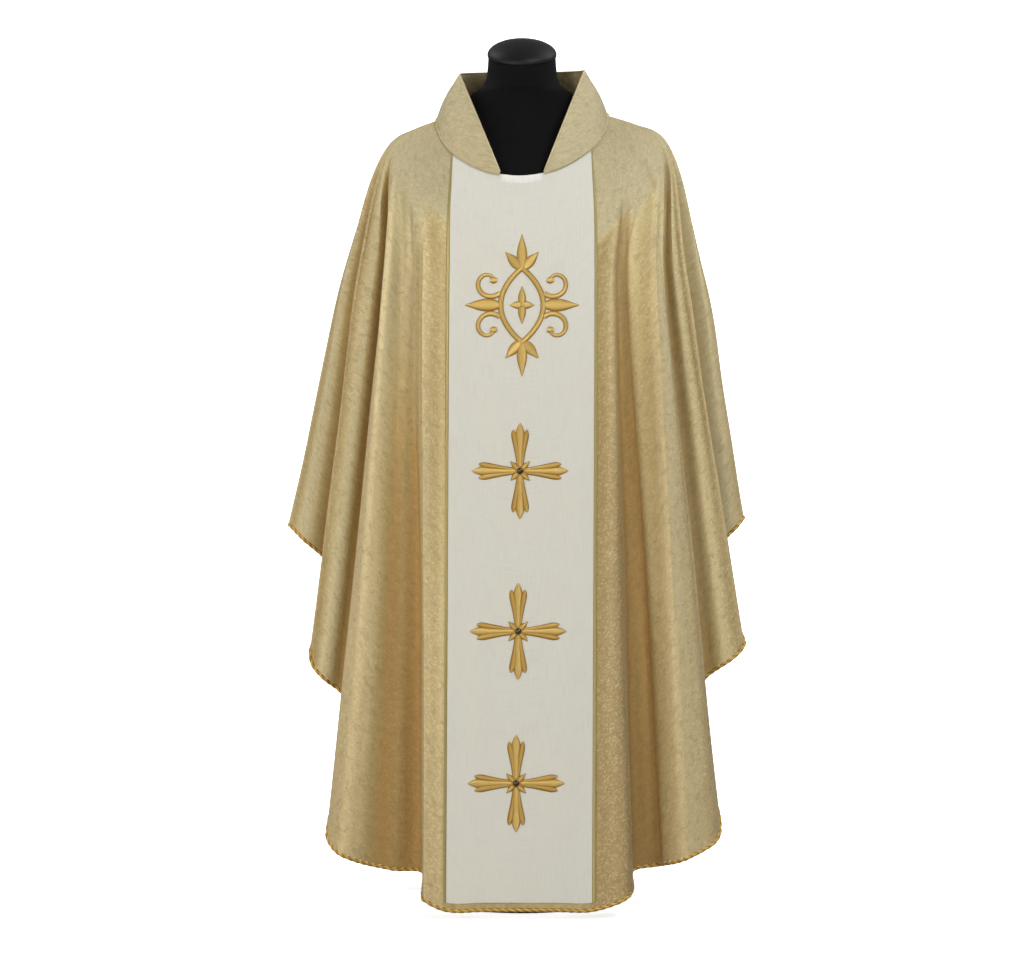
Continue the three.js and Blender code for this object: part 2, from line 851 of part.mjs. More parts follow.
const leftSeam = foldAt("wingTipL");
const rightSeam = foldAt("wingTipR");
add("front_panel", panel(rightSeam - folds.length, leftSeam), "brocade");
add("back_panel", panel(leftSeam, rightSeam), "brocade");
add("collar", skin(offsetGrid(collarInner(), -collarThickness), collarInner()), "brocade");
add(
  "orphrey",
  skin(orphreyGrid(orphreyOut + orphreyThickness), orphreyGrid(orphreyOut)),
  "ivory",
);
add("braid_left", braid(orphreyEdges.left), "gold");
add("braid_right", braid(orphreyEdges.right), "gold");
add("hem_cord_front", hemCord(rightSeam - folds.length, leftSeam), "gold");
add("hem_cord_back", hemCord(leftSeam, rightSeam), "gold");
add("ornament", ornamentSolid(), "gold");
add("ornament_flower", flowerSolid(), "gold");
for (const place of ["upper", "middle", "lower"]) {
  const x = crossX[place];
  const z = crossHeights[place];
  add(`cross_${place}`, crossSolid(x, z), "gold");
  add(`cross_stone_${place}`, stoneSolid(x, z), "stone");
}
add("form_body", tube(formRows.map((row) => formRing(row))), "jersey");
add("neck_cap", neckCap(), "cap");
add("stand_pole", poleSolid(), "metal");
add("stand_foot", footSolid(), "metal");

export default chasuble;
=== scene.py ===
"""A chasuble of gold brocade, hung in deep folds on a black limbless dress form.

The cloth is one surface of fold lines. Each line falls from the neck seam over the shoulder and the yoke
edge to the hem, and every sewn piece is made from that surface, moved out. Tables and sizes are in millimetres
and meshes are in metres. +Z is up and the garment's front faces -Y.
"""

import logging
from dataclasses import dataclass, field
from enum import Enum
from typing import Optional, Sequence

import bpy
import numpy as np
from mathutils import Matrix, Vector


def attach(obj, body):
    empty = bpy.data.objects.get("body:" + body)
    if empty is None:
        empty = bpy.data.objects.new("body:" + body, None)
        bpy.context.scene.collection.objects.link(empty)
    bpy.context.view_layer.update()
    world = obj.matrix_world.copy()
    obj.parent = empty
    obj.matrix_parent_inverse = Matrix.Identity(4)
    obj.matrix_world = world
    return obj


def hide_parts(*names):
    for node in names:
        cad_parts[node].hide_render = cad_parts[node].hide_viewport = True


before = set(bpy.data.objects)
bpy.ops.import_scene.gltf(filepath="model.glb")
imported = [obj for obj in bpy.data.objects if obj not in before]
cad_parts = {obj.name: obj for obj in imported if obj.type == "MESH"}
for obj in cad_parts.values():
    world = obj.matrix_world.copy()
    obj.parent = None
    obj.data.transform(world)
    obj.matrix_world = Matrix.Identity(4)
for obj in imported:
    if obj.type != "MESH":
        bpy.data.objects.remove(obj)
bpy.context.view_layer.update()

log = logging.getLogger("chasuble")
Array = np.ndarray
Colour = tuple[float, float, float, float]
Material = bpy.types.Material
Node = bpy.types.Node
NodeTree = bpy.types.NodeTree
Piece = bpy.types.Object
Socket = bpy.types.NodeSocket
MM = 0.001
SHARP_DEGREES = 60


class Slot(Enum):
    """The material slots."""

    BROCADE = "brocade"
    IVORY = "ivory"
    GOLD = "gold"
    STONE = "stone"
    JERSEY = "jersey"
    CAP = "cap"
    METAL = "metal"


class Side(Enum):
    """A side of the garment as the camera sees it. The value is the sign of its fold lines' numbers."""

    LEFT = 1
    RIGHT = -1


# ---------------------------------------------------------------- curves and grids


def four_in_a_row(points: Array, place: Array, closed: bool) -> tuple[list[Array], Array]:
    """The four points round each place on a curve, and how far it lies from the second to the third.

    Args:
        points: the points, with any leading axes, then one axis of points and one of coordinates.
        place: shares of the whole curve, from 0 to 1.
        closed: whether the last point joins the first. If not, one more is added straight on at each end.

    Returns:
        The four arrays of points, and the shares of the way.
    """
    count = points.shape[-2]
    if closed:
        place = np.mod(place, 1.0) * count
        first = np.floor(place).astype(int)
        return [np.take(points, (first + k) % count, axis=-2) for k in (-1, 0, 1, 2)], place - first
    place = place * (count - 1)
    first = np.minimum(np.floor(place).astype(int), count - 2)
    before = 2 * points[..., :1, :] - points[..., 1:2, :]
    after = 2 * points[..., -1:, :] - points[..., -2:-1, :]
    padded = np.concatenate([before, points, after], axis=-2)
    return [np.take(padded, first + k, axis=-2) for k in range(4)], place - first


def catmull_rom(points: Array, at: Array, closed: bool = False) -> Array:
    """A smooth centripetal curve: cubic pieces whose slopes weigh each chord by the root of its length.

    Args:
        points: the points to pass through: any leading axes, an axis of points and one of coordinates.
        at: shares of the whole curve, from 0 to 1.
        closed: whether the last point joins the first.

    Returns:
        The curve's points, with the axis of points replaced by one as long as at.
    """
    tiny = 1e-4
    (p0, p1, p2, p3), share = four_in_a_row(points, at, closed)
    share = share[:, None]
    before, chord, after = (
        np.sum((b - a) ** 2, axis=-1, keepdims=True) ** 0.25 for a, b in ((p0, p1), (p1, p2), (p2, p3))
    )
    middle = np.where(chord < tiny, 1.0, chord)
    ahead = np.where(before < tiny, middle, before)
    behind = np.where(after < tiny, middle, after)
    leave = ((p1 - p0) / ahead - (p2 - p0) / (ahead + middle) + (p2 - p1) / middle) * middle
    arrive = ((p2 - p1) / middle - (p3 - p1) / (middle + behind) + (p3 - p2) / behind) * middle
    bend = -3 * p1 + 3 * p2 - 2 * leave - arrive
    twist = 2 * p1 - 2 * p2 + leave + arrive
    return p1 + share * (leave + share * (bend + share * twist))


def unit(vectors: Array) -> Array:
    """Vectors scaled to length 1."""
    return vectors / np.maximum(np.linalg.norm(vectors, axis=-1, keepdims=True), 1e-9)


def smooth_step(low: float, high: float, value: Array) -> Array:
    """Rises from 0 at low to 1 at high, level at both ends."""
    share = np.clip((value - low) / (high - low), 0.0, 1.0)
    return share * share * (3 - 2 * share)


def grid_normals(grid: Array) -> Array:
    """Unit normals of a grid of points: the way across crossed with the way down."""
    down, across = np.gradient(grid, axis=(0, 1))
    return unit(np.cross(across, down))


def run(points: Array, axis: int = 0) -> Array:
    """Lengths along lines of points from the first point of each."""
    steps = np.linalg.norm(np.diff(points, axis=axis), axis=-1)
    start = [(0, 0)] * steps.ndim
    start[axis] = (1, 0)
    return np.pad(np.cumsum(steps, axis=axis), start)


def grid_lengths(grid: Array) -> Array:
    """Lengths across a grid from its middle column and down it from its first row, in metres."""
    u = run(grid, axis=1)
    return np.stack([u - u[:, u.shape[1] // 2][:, None], run(grid)], axis=-1) * MM


def squares(numbers: Array) -> Array:
    """The numbers at the four corners of each square of a grid, in turn."""
    corners = [numbers[:-1, :-1], numbers[:-1, 1:], numbers[1:, 1:], numbers[1:, :-1]]
    return np.stack(corners, axis=-1).reshape(-1, 4)


def circle(sides: int) -> Array:
    """Angles of points evenly spaced round a circle."""
    return 2 * np.pi * np.arange(sides) / sides


@dataclass
class Surface:
    """Vertices and faces that grow piece by piece, with a UV for each corner and two values for each vertex:
    its shade, a painted shading from a painted highlight on a crest to painted shade in a hollow, and its
    painted light, which makes the colour paler or darker as if lit."""

    points: list[Array] = field(default_factory=list)
    shades: list[Array] = field(default_factory=list)
    tones: list[Array] = field(default_factory=list)
    faces: list[Array] = field(default_factory=list)
    uvs: list[Array] = field(default_factory=list)
    count: int = 0

    def add_points(self, points: Array, shade: Array, tone: Array) -> int:
        """Adds points with a painted shade and a painted light each, and returns the number of the first."""
        first = self.count
        self.points.append(points.reshape(-1, 3))
        self.shades.append(np.broadcast_to(shade, points.shape[:-1]).ravel())
        self.tones.append(np.broadcast_to(tone, points.shape[:-1]).ravel())
        self.count += len(self.points[-1])
        return first

    def add_faces(self, faces: Array, uvs: Array) -> None:
        """Adds faces of three or four vertices, with the UVs of their corners."""
        self.faces.append(faces)
        self.uvs.append(uvs)

    def add_shell(
        self,
        middle: Array,
        moves: Sequence[Array],
        uv: Array,
        shades: Sequence[Array],
        tones: Sequence[Array] = (np.ones(1), np.ones(1)),
    ) -> None:
        """A closed skin over a grid that is moved out to one face and in to the other.

        Args:
            middle: the grid, rows by columns.
            moves: the two moves from the grid, to the outer face and to the inner one.
            uv: a UV for each place in the grid.
            shades: the painted shade and highlight of the outer and of the inner face.
            tones: the painted light of the outer and of the inner face.
        """
        number = np.arange(middle.shape[0] * middle.shape[1]).reshape(middle.shape[:2])
        flat = uv.reshape(-1, 2)
        outer, inner = (
            self.add_points(middle + move, shade, tone) for move, shade, tone in zip(moves, shades, tones)
        )
        face = squares(number)
        self.add_faces(face + outer, flat[face])
        turned = face[:, [0, 3, 2, 1]]
        self.add_faces(turned + inner, flat[turned])
        for line, turn in ((number[:, 0], 1), (number[:, -1], -1), (number[0], -1), (number[-1], 1)):
            near, far = (line[:-1], line[1:])[::turn]
            rim = np.stack([near + outer, far + outer, far + inner, near + inner], axis=1)
            self.add_faces(rim, flat[np.stack([near, far, far, near], axis=1)])

    def add_tube(self, rings: Array, shade: Array = np.zeros(1)) -> None:
        """A closed tube over rings of points, with a fan at each end. U goes once round and V is the length.

        Args:
            rings: the rings, as rings by points round by 3.
            shade: a painted shade and highlight that can be spread over rings by points.
        """
        count, around = rings.shape[:2]
        shade = np.broadcast_to(shade, (count, around))
        number = np.arange(count * around).reshape(count, around) + self.add_points(rings, shade, np.ones(1))
        middles = rings.mean(axis=1)
        u, v = np.arange(around + 1) / around, run(middles) * MM
        uv = np.stack(np.meshgrid(u, v), axis=-1).reshape(-1, 2)
        place = np.arange(len(uv)).reshape(count, around + 1)
        self.add_faces(squares(np.append(number, number[:, :1], axis=1)), uv[squares(place)])
        for end, turn in ((0, -1), (-1, 1)):
            pole = self.add_points(middles[end][None], shade[end, :1], np.ones(1))
            ring = number[end]
            fan = [np.full(around, pole), ring, np.roll(ring, -1)][::turn]
            self.add_faces(np.stack(fan, axis=1), np.repeat(uv[place[end, :-1]][:, None], 3, axis=1))

    def mesh(self, name: str) -> bpy.types.Mesh:
        """Makes the mesh, with its faces turned so that they enclose a positive volume."""
        points = np.concatenate(self.points) * MM
        triangles = np.concatenate(
            [faces[:, [0, k, k + 1]] for faces in self.faces for k in range(1, faces.shape[1] - 1)]
        )
        a, b, c = (points[triangles[:, k]] for k in range(3))
        turn = -1 if np.sum(a * np.cross(b, c)) < 0 else 1
        corners = np.concatenate([faces[:, ::turn].ravel() for faces in self.faces])
        uvs = np.concatenate([uv[:, ::turn].ravel() for uv in self.uvs])
        sizes = np.concatenate([np.full(len(faces), faces.shape[1]) for faces in self.faces])
        mesh = bpy.data.meshes.new(name)
        mesh.vertices.add(len(points))
        mesh.vertices.foreach_set("co", points.astype(np.float32).ravel())
        mesh.loops.add(len(corners))
        mesh.loops.foreach_set("vertex_index", corners.astype(np.int32))
        mesh.polygons.add(len(sizes))
        mesh.polygons.foreach_set("loop_start", (np.cumsum(sizes) - sizes).astype(np.int32))
        mesh.update(calc_edges=True)
        mesh.uv_layers.new(name="cloth").data.foreach_set("uv", uvs.astype(np.float32))
        # Each vertex's painted shading and painted light, which the finishes paint into the colour.
        for label, values in (("shade", self.shades), ("tone", self.tones)):
            layer = mesh.attributes.new(label, "FLOAT", "POINT")
            layer.data.foreach_set("value", np.concatenate(values).astype(np.float32))
        mesh.polygons.foreach_set("use_smooth", np.ones(len(sizes), bool))
        mesh.set_sharp_from_angle(angle=np.radians(SHARP_DEGREES))
        log.info("%s: %d triangles", name, len(triangles))
        return mesh

    def build(self, name: str, slot: Slot, material: Material, *nodes: str) -> Piece:
        """Makes the object, and lets it ride and stand for its CAD nodes.

        Args:
            name: the piece's name.
            slot: not used.
            material: its finish.
            *nodes: the CAD nodes it stands for.

        Returns:
            The new object.
        """
        mesh = self.mesh(name)
        mesh.materials.append(material)
        piece = bpy.data.objects.new(name, mesh)
        bpy.context.scene.collection.objects.link(piece)
        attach(piece, "root")
        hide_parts(*nodes)
        return piece


# ---------------------------------------------------------------- the hanging cloth

# One row for each fold line, from the front's middle round by the left side and the back. The columns are the
# angle round the neck seam, the angle round the yoke edge, x and y at the chest, and x, y and z at the hem.
FOLDS = np.array([
    [0, 0, 0, -151, -5, -201, 18],
    [25, 11, -56, -150, -61, -201, 18],
    [54, 27, -112, -148, -116, -200, 18],
    [61, 41, -153, -147, -150, -200, 36],
    [65, 48, -162, -122, -156, -134, 67],
    [69, 55.5, -182, -126, -204, -132, 71],
    [73, 64, -208, -140, -276, -154, 96],
    [76, 70, -215, -118, -305, -130, 126],
    [79, 75, -202, -82, -256, -76, 302],
    [83, 80, -257, -80, -334, -68, 396],
    [86.5, 85, -248, -38, -290, -36, 508],
    [90, 90, -285, 0, -372, 0, 602],
    [94, 97, -244, 40, -284, 36, 500],
    [98, 104, -244, 88, -320, 70, 384],
    [103, 112, -194, 84, -248, 76, 268],
    [110, 121, -198, 132, -288, 148, 118],
    [126, 138, -128, 120, -142, 136, 58],
    [146, 156, -86, 144, -98, 192, 22],
    [180, 180, 4, 140, 6, 172, 18],
    [216, 206, 94, 145, 106, 194, 20],
    [235, 222, 138, 118, 152, 132, 60],
    [249, 239, 202, 130, 292, 144, 122],
    [256, 248, 200, 82, 254, 74, 284],
    [261, 256, 246, 86, 328, 68, 408],
    [266, 263, 244, 38, 278, 36, 505],
    [270, 270, 290, 0, 355, 0, 614],
    [273.5, 275, 250, -40, 282, -38, 513],
    [277, 280, 257, -84, 349, -70, 420],
    [281, 285, 212, -84, 268, -76, 336],
    [284, 290, 224, -126, 308, -126, 126],
    [288, 297.7, 205, -146, 250, -160, 90],
    [293, 314.5, 166, -112, 214, -116, 75],
    [296.5, 320, 152, -118, 176, -126, 69],
    [300, 325.5, 141, -147, 162, -198, 38],
    [306, 335.4, 112, -148, 107, -200, 18],
    [335, 349.9, 56, -150, 51, -201, 18],
])
FOLD_COUNT = len(FOLDS)
WING_TIP = {Side.LEFT: 11, Side.RIGHT: 25}

# One row for each crease: the fold line's number at its head and at its foot, where it starts and ends down
# the cloth from 0 at the neck to 1 at the hem, its half width in spaces between fold lines, its height
# outwards, and its sharpness, from 1 for a pressed edge to 2 for a soft roll. Past 1 it runs out over the hem.
CREASES = np.array([
    # The left front: the line beside the orphrey, the hollow, the big fold, then the side fold and the wing.
    [2.25, 2.20, 0.36, 1.3, 0.14, 1.6, 1.8],
    [2.60, 2.60, 0.40, 1.3, 0.14, -1.8, 1.6],
    [2.88, 2.92, 0.38, 1.3, 0.09, 3.2, 1.4],
    [3.30, 3.30, 0.44, 1.3, 0.24, -1.4, 1.8],
    [4.20, 4.30, 0.40, 1.3, 0.40, -3.0, 2.0],
    [4.10, 4.10, 0.34, 0.84, 0.80, 10.0, 2.0],
    [5.15, 5.20, 0.46, 1.3, 0.30, -4.5, 1.8],
    [5.95, 6.02, 0.34, 1.3, 0.22, 6.5, 1.3],
    [6.55, 6.50, 0.46, 0.94, 0.16, -3.0, 1.4],
    [7.00, 7.05, 0.40, 1.3, 0.22, -4.5, 1.2],
    [7.90, 8.45, 0.38, 1.3, 0.12, -9.0, 1.5],
    [8.44, 8.60, 0.36, 1.3, 0.14, 8.5, 1.5],
    [8.94, 8.94, 0.40, 1.3, 0.13, -6.0, 1.2],
    [10.34, 10.34, 0.42, 1.3, 0.13, -10.0, 1.5],
    [10.62, 10.58, 0.38, 1.3, 0.13, 8.0, 1.5],
    [10.86, 10.84, 0.52, 1.3, 0.07, -2.5, 1.4],
    # The right front.
    [33.60, 33.60, 0.40, 1.3, 0.34, -1.4, 2.0],
    [33.02, 33.00, 0.44, 1.06, 0.50, -3.5, 2.0],
    [32.00, 31.90, 0.36, 1.3, 0.40, -3.0, 2.0],
    [31.25, 31.25, 0.36, 0.80, 0.55, 13.0, 2.0],
    [32.16, 27.56, 0.30, 0.72, 0.10, -5.0, 1.2],
    [31.02, 30.98, 0.62, 1.3, 0.08, -5.0, 1.1],
    [30.72, 30.62, 0.36, 1.3, 0.30, 8.0, 1.8],
    [30.00, 29.96, 0.34, 1.3, 0.15, 6.0, 1.2],
    [29.48, 29.46, 0.42, 1.3, 0.18, -2.4, 1.5],
    [29.00, 28.96, 0.42, 1.1, 0.20, -8.0, 1.2],
    [27.68, 27.66, 0.36, 1.3, 0.13, -5.0, 1.5],
    [27.42, 27.40, 0.36, 1.3, 0.12, 6.0, 1.5],
    [27.18, 27.18, 0.44, 0.90, 0.09, -6.0, 1.3],
    [26.98, 27.00, 0.40, 1.3, 0.10, -4.0, 1.2],
    [25.62, 25.62, 0.40, 1.3, 0.13, -10.0, 1.5],
    [25.34, 25.32, 0.38, 1.3, 0.12, 6.5, 1.5],
    # The back, from its left side to its right.
    [11.40, 11.42, 0.38, 1.3, 0.12, 6.5, 1.5],
    [11.70, 11.72, 0.42, 1.3, 0.13, -9.0, 1.5],
    [13.00, 13.04, 0.40, 1.3, 0.12, 3.0, 1.2],
    [13.32, 13.34, 0.36, 1.3, 0.13, 6.5, 1.5],
    [13.66, 13.66, 0.40, 1.3, 0.15, -9.0, 1.5],
    [15.00, 15.06, 0.38, 1.3, 0.20, 5.5, 1.2],
    [15.45, 15.40, 0.48, 0.92, 0.18, -3.0, 1.5],
    [15.95, 15.90, 0.40, 1.3, 0.22, -4.5, 1.5],
    [16.60, 16.48, 0.36, 1.3, 0.14, 4.0, 1.3],
    [17.10, 17.20, 0.30, 1.3, 0.16, 4.5, 1.3],
    [17.62, 17.70, 0.38, 1.3, 0.20, -4.0, 1.6],
    [18.20, 18.30, 0.44, 1.3, 0.16, 4.5, 1.3],
    [18.72, 18.62, 0.50, 1.3, 0.14, -3.0, 1.5],
    [19.20, 19.12, 0.34, 1.3, 0.18, 4.5, 1.3],
    [19.85, 19.90, 0.40, 1.3, 0.20, -4.5, 1.6],
    [20.50, 20.46, 0.46, 1.3, 0.14, 4.0, 1.4],
    [20.95, 20.92, 0.36, 1.3, 0.18, 5.5, 1.2],
    [21.55, 21.50, 0.44, 0.90, 0.18, -3.0, 1.4],
    [22.34, 22.36, 0.40, 1.3, 0.15, -9.0, 1.5],
    [22.70, 22.68, 0.36, 1.3, 0.13, 6.5, 1.5],
    [23.02, 23.04, 0.40, 1.3, 0.12, 3.0, 1.2],
    [24.30, 24.28, 0.42, 1.3, 0.13, -9.0, 1.5],
    [24.62, 24.60, 0.38, 1.3, 0.12, 6.5, 1.5],
    # Short soft rolls over the shoulders.
    [6.20, 5.60, 0.10, 0.44, 0.80, 1.8, 1.8],
    [9.50, 8.60, 0.12, 0.42, 0.90, 1.6, 1.8],
    [29.40, 30.20, 0.10, 0.42, 0.80, 1.8, 1.8],
    [26.50, 27.40, 0.12, 0.44, 0.90, 1.4, 1.8],
    [15.20, 15.80, 0.08, 0.40, 0.70, 1.8, 1.8],
    [20.80, 20.20, 0.10, 0.44, 0.70, 1.6, 1.8],
    [17.60, 18.10, 0.12, 0.36, 0.50, 1.4, 1.8],
])


@dataclass(frozen=True)
class Drape:
    """The cloth's middle surface, with its neck seam, its yoke edge and its fold lines."""

    neck_half_width: float = 134
    neck_front: float = 110
    neck_back: float = 100
    neck_side_height: float = 1245
    neck_front_drop: float = 99
    neck_back_rise: float = 14
    yoke_left: float = 209
    yoke_right: float = 225
    yoke_front: float = 138
    yoke_back: float = 130
    yoke_side_height: float = 1209
    yoke_front_drop: float = 138
    yoke_back_drop: float = 92
    squareness: float = 2.5
    drop_power: float = 1.4
    right_lift: float = 8
    shoulder_crown: float = 4
    chest_fullness: float = 3
    chest_height: float = 1000
    thickness: float = 2
    crease_fade_in: float = 0.16
    crease_fade_out: float = 0.2
    loose_from: float = 0.3
    loose_below: float = 0.6
    wave_height: float = 0.9
    # Painted light: a paler colour on the shoulders, as if lit from above, more at the front than at the back,
    # and painted shade that darkens the cloth toward the floor.
    shoulder_tone: float = 1.17
    back_shoulder_tone: float = 1.08
    floor_loss: float = 0.07
    floor_loss_from: float = 620
    floor_loss_full: float = 40

    def neck_point(self, degrees: Array) -> Array:
        """Points on the neck seam: an oval by sine and cosine, low at the front and high at the nape."""
        across, forward = -np.sin(np.radians(degrees)), np.cos(np.radians(degrees))
        depth = np.where(forward > 0, self.neck_front, self.neck_back)
        drop = np.where(forward > 0, self.neck_front_drop, self.neck_back_rise)
        height = self.neck_side_height - drop * forward + self.right_lift * np.maximum(across, 0)
        return np.stack([self.neck_half_width * across, -depth * forward, height], axis=-1)

    def yoke_point(self, degrees: Array) -> Array:
        """Points on the yoke edge: an oval squared by powers of sine and cosine, low at front and back."""
        power = 2 / self.squareness
        across, forward = -np.sin(np.radians(degrees)), np.cos(np.radians(degrees))
        half = np.where(across < 0, self.yoke_left, self.yoke_right)
        depth = np.where(forward > 0, self.yoke_front, self.yoke_back)
        drop = np.where(forward > 0, self.yoke_front_drop, self.yoke_back_drop)
        x = np.sign(across) * half * np.abs(across) ** power
        y = -np.sign(forward) * depth * np.abs(forward) ** power
        fall = drop * np.abs(forward) ** self.drop_power
        height = self.yoke_side_height - fall + self.right_lift * np.maximum(across, 0)
        return np.stack([x, y, height], axis=-1)

    def controls(self) -> Array:
        """Six points on each fold line: neck, shoulder, yoke, chest, half the fall, and hem."""
        neck, yoke = self.neck_point(FOLDS[:, 0]), self.yoke_point(FOLDS[:, 1])
        turn = np.radians(FOLDS[:, 1])
        shoulder = (neck + yoke) / 2
        shoulder[:, 1] -= self.chest_fullness * np.cos(turn)
        shoulder[:, 2] += self.shoulder_crown * np.abs(np.sin(turn))
        chest = np.column_stack([FOLDS[:, 2:4], np.full(FOLD_COUNT, self.chest_height)])
        hem = FOLDS[:, 4:7]
        return np.stack([neck, shoulder, yoke, chest, (chest + hem) / 2, hem], axis=1)

    def smooth(self, along: Array, down: Array) -> Array:
        """Points for each down by each along: curves down the fold lines, then closed curves across them."""
        lines = catmull_rom(self.controls(), down)
        return catmull_rom(np.swapaxes(lines, 0, 1), along / FOLD_COUNT, closed=True)

    def relief(self, along: Array, down: Array) -> Array:
        """Height of the creases: each is a ridge that falls off as exp(-distance^sharpness), faded in and out
        down its length, on top of slow waves that keep a fold from being straight. The waves are products of
        sines, and fade out toward the yoke and toward the band."""
        height = np.zeros((len(down), len(along)))
        d = down[:, None]
        for head, foot, start, end, half, high, sharp in CREASES:
            middle = head + (foot - head) * d
            away = np.mod(along[None] - middle + FOLD_COUNT / 2, FOLD_COUNT) - FOLD_COUNT / 2
            fade = smooth_step(start, start + self.crease_fade_in, d)
            fade *= 1 - smooth_step(end - self.crease_fade_out, end, d)
            height += high * fade * np.exp(-np.abs(away / half) ** sharp)
        turn = 2 * np.pi * along[None] / FOLD_COUNT
        off_band = 1 - np.exp(-9 * np.abs(np.sin(turn / 2)))
        waves = np.sin(17 * turn + 9 * d) * np.sin(5 * turn + 21 * d) + np.sin(31 * turn - 13 * d + 1)
        loose = smooth_step(self.loose_from, self.loose_below, d)
        return height + self.wave_height * loose * off_band * waves

    def at(self, along: Array, down: Array, out: float | Array = 0.0) -> tuple[Array, Array]:
        """Points on the cloth and the way out from it.

        Args:
            along: fold line numbers, which may be fractions and wrap round.
            down: shares of the way from neck seam to hem.
            out: how far out of the middle surface.

        Returns:
            The points and the unit normals, as downs by alongs by 3.
        """
        wide, tall = 0.03, 0.01
        across = self.smooth(along + wide, down) - self.smooth(along - wide, down)
        fall = self.smooth(along, np.minimum(down + tall, 1)) - self.smooth(along, np.maximum(down - tall, 0))
        normal = unit(np.cross(across, fall))
        rise = self.relief(along, down) + out
        return self.smooth(along, down) + normal * rise[..., None], normal

    def tone(self, along: Array, down: Array) -> Array:
        """The painted light for each down by each along: over 1, and so a painted paler colour, on the
        shoulders, then the table's painted light and shade, and painted shade growing slowly toward the floor."""
        columns = np.mod(along, FOLD_COUNT)
        start, run_out, below, hem = (np.interp(columns, TONES[:, 0], TONES[:, k])[None] for k in range(1, 5))
        d = down[:, None]
        low = below + (hem - below) * smooth_step(0.62, 0.78, d)
        turned = smooth_step(start, start + run_out, d)
        front = smooth_step(-0.5, 0.5, np.cos(2 * np.pi * along / FOLD_COUNT))[None]
        shoulder = self.back_shoulder_tone + (self.shoulder_tone - self.back_shoulder_tone) * front
        height = self.smooth(along, down)[..., 2]
        # Painted shade toward the floor.
        loss = self.floor_loss * smooth_step(self.floor_loss_from, self.floor_loss_full, height)
        return (shoulder + (low - shoulder) * turned) * (1 - loss)

    def space(self, along: float, down: Array) -> Array:
        """The length across the cloth of one whole space between fold lines, at one place along."""
        near = 0.05
        pair = self.smooth(np.array([along - near, along + near]), down)
        return np.linalg.norm(pair[:, 1] - pair[:, 0], axis=-1) / (2 * near)


# One row of painted light for each place round the cloth. The columns are the fold line's number, how far
# down the painted light leaves the shoulders' paler colour, over what stretch, and the painted light, under
# 1 a painted shade, just below there and at the hem.
TONES = np.array([
    [0.0, 0.40, 0.14, 0.90, 0.92],
    [2.0, 0.40, 0.14, 0.92, 0.95],
    [2.2, 0.40, 0.14, 0.95, 0.98],
    [2.45, 0.40, 0.14, 0.84, 0.86],
    [2.8, 0.40, 0.14, 0.78, 0.84],
    [3.0, 0.40, 0.14, 1.00, 0.92],
    [3.4, 0.40, 0.14, 1.13, 1.00],
    [3.7, 0.40, 0.14, 1.14, 1.00],
    [4.2, 0.40, 0.14, 1.14, 0.98],
    [5.0, 0.40, 0.14, 1.12, 0.93],
    [5.4, 0.40, 0.14, 1.12, 0.97],
    [5.8, 0.40, 0.14, 1.06, 0.95],
    [6.0, 0.40, 0.14, 0.98, 0.96],
    [6.4, 0.40, 0.14, 0.96, 0.93],
    [7.4, 0.40, 0.14, 0.92, 0.90],
    [8.3, 0.40, 0.14, 0.90, 0.94],
    [8.44, 0.40, 0.14, 0.88, 0.90],
    [8.54, 0.40, 0.14, 1.08, 1.10],
    [8.65, 0.40, 0.14, 1.12, 1.12],
    [8.85, 0.40, 0.14, 0.80, 0.92],
    [9.1, 0.40, 0.14, 0.76, 0.87],
    [9.3, 0.40, 0.14, 0.88, 0.90],
    [10.4, 0.40, 0.14, 0.92, 0.88],
    [10.5, 0.40, 0.14, 1.01, 0.98],
    [10.6, 0.40, 0.14, 1.10, 1.12],
    [10.66, 0.40, 0.14, 1.08, 1.09],
    [10.9, 0.40, 0.14, 0.86, 0.86],
    [11.3, 0.40, 0.14, 0.95, 0.95],
    [18.0, 0.40, 0.14, 0.95, 0.95],
    [24.6, 0.40, 0.14, 0.93, 0.93],
    [25.1, 0.40, 0.14, 0.82, 0.82],
    [25.28, 0.40, 0.14, 0.87, 0.87],
    [25.38, 0.40, 0.14, 1.10, 1.10],
    [25.5, 0.40, 0.14, 1.12, 1.12],
    [26.9, 0.40, 0.14, 0.90, 0.90],
    [27.2, 0.40, 0.14, 0.66, 0.72],
    [27.42, 0.40, 0.14, 1.04, 1.02],
    [27.65, 0.40, 0.14, 1.08, 1.06],
    [28.6, 0.40, 0.14, 0.88, 0.85],
    [29.15, 0.40, 0.14, 0.84, 0.72],
    [29.45, 0.40, 0.14, 1.07, 0.92],
    [29.75, 0.40, 0.14, 1.00, 0.97],
    [30.0, 0.40, 0.14, 0.87, 0.92],
    [30.3, 0.40, 0.14, 0.98, 0.87],
    [30.8, 0.48, 0.05, 1.04, 1.00],
    [31.1, 0.445, 0.05, 1.09, 1.00],
    [31.8, 0.455, 0.04, 1.07, 0.96],
    [32.4, 0.46, 0.04, 1.04, 0.86],
    [32.8, 0.465, 0.04, 0.94, 0.62],
    [33.1, 0.47, 0.04, 0.84, 0.62],
    [33.45, 0.49, 0.04, 0.77, 0.69],
    [33.6, 0.50, 0.04, 0.77, 0.68],
    [33.9, 0.51, 0.04, 0.79, 0.73],
    [34.3, 0.51, 0.04, 1.00, 1.00],
    [36.0, 0.40, 0.14, 1.00, 1.00],
])


def downs(seam: int, shoulder: int, chest: int, fall: int) -> Array:
    """Shares down the cloth, with a number of steps in each stretch: seam to shoulder, shoulder to yoke, yoke
    to chest, and each half of the fall."""
    stretches = [seam, shoulder, chest, fall, fall]
    parts = [(k + np.arange(steps) / steps) / len(stretches) for k, steps in enumerate(stretches)]
    return np.append(np.concatenate(parts), 1.0)


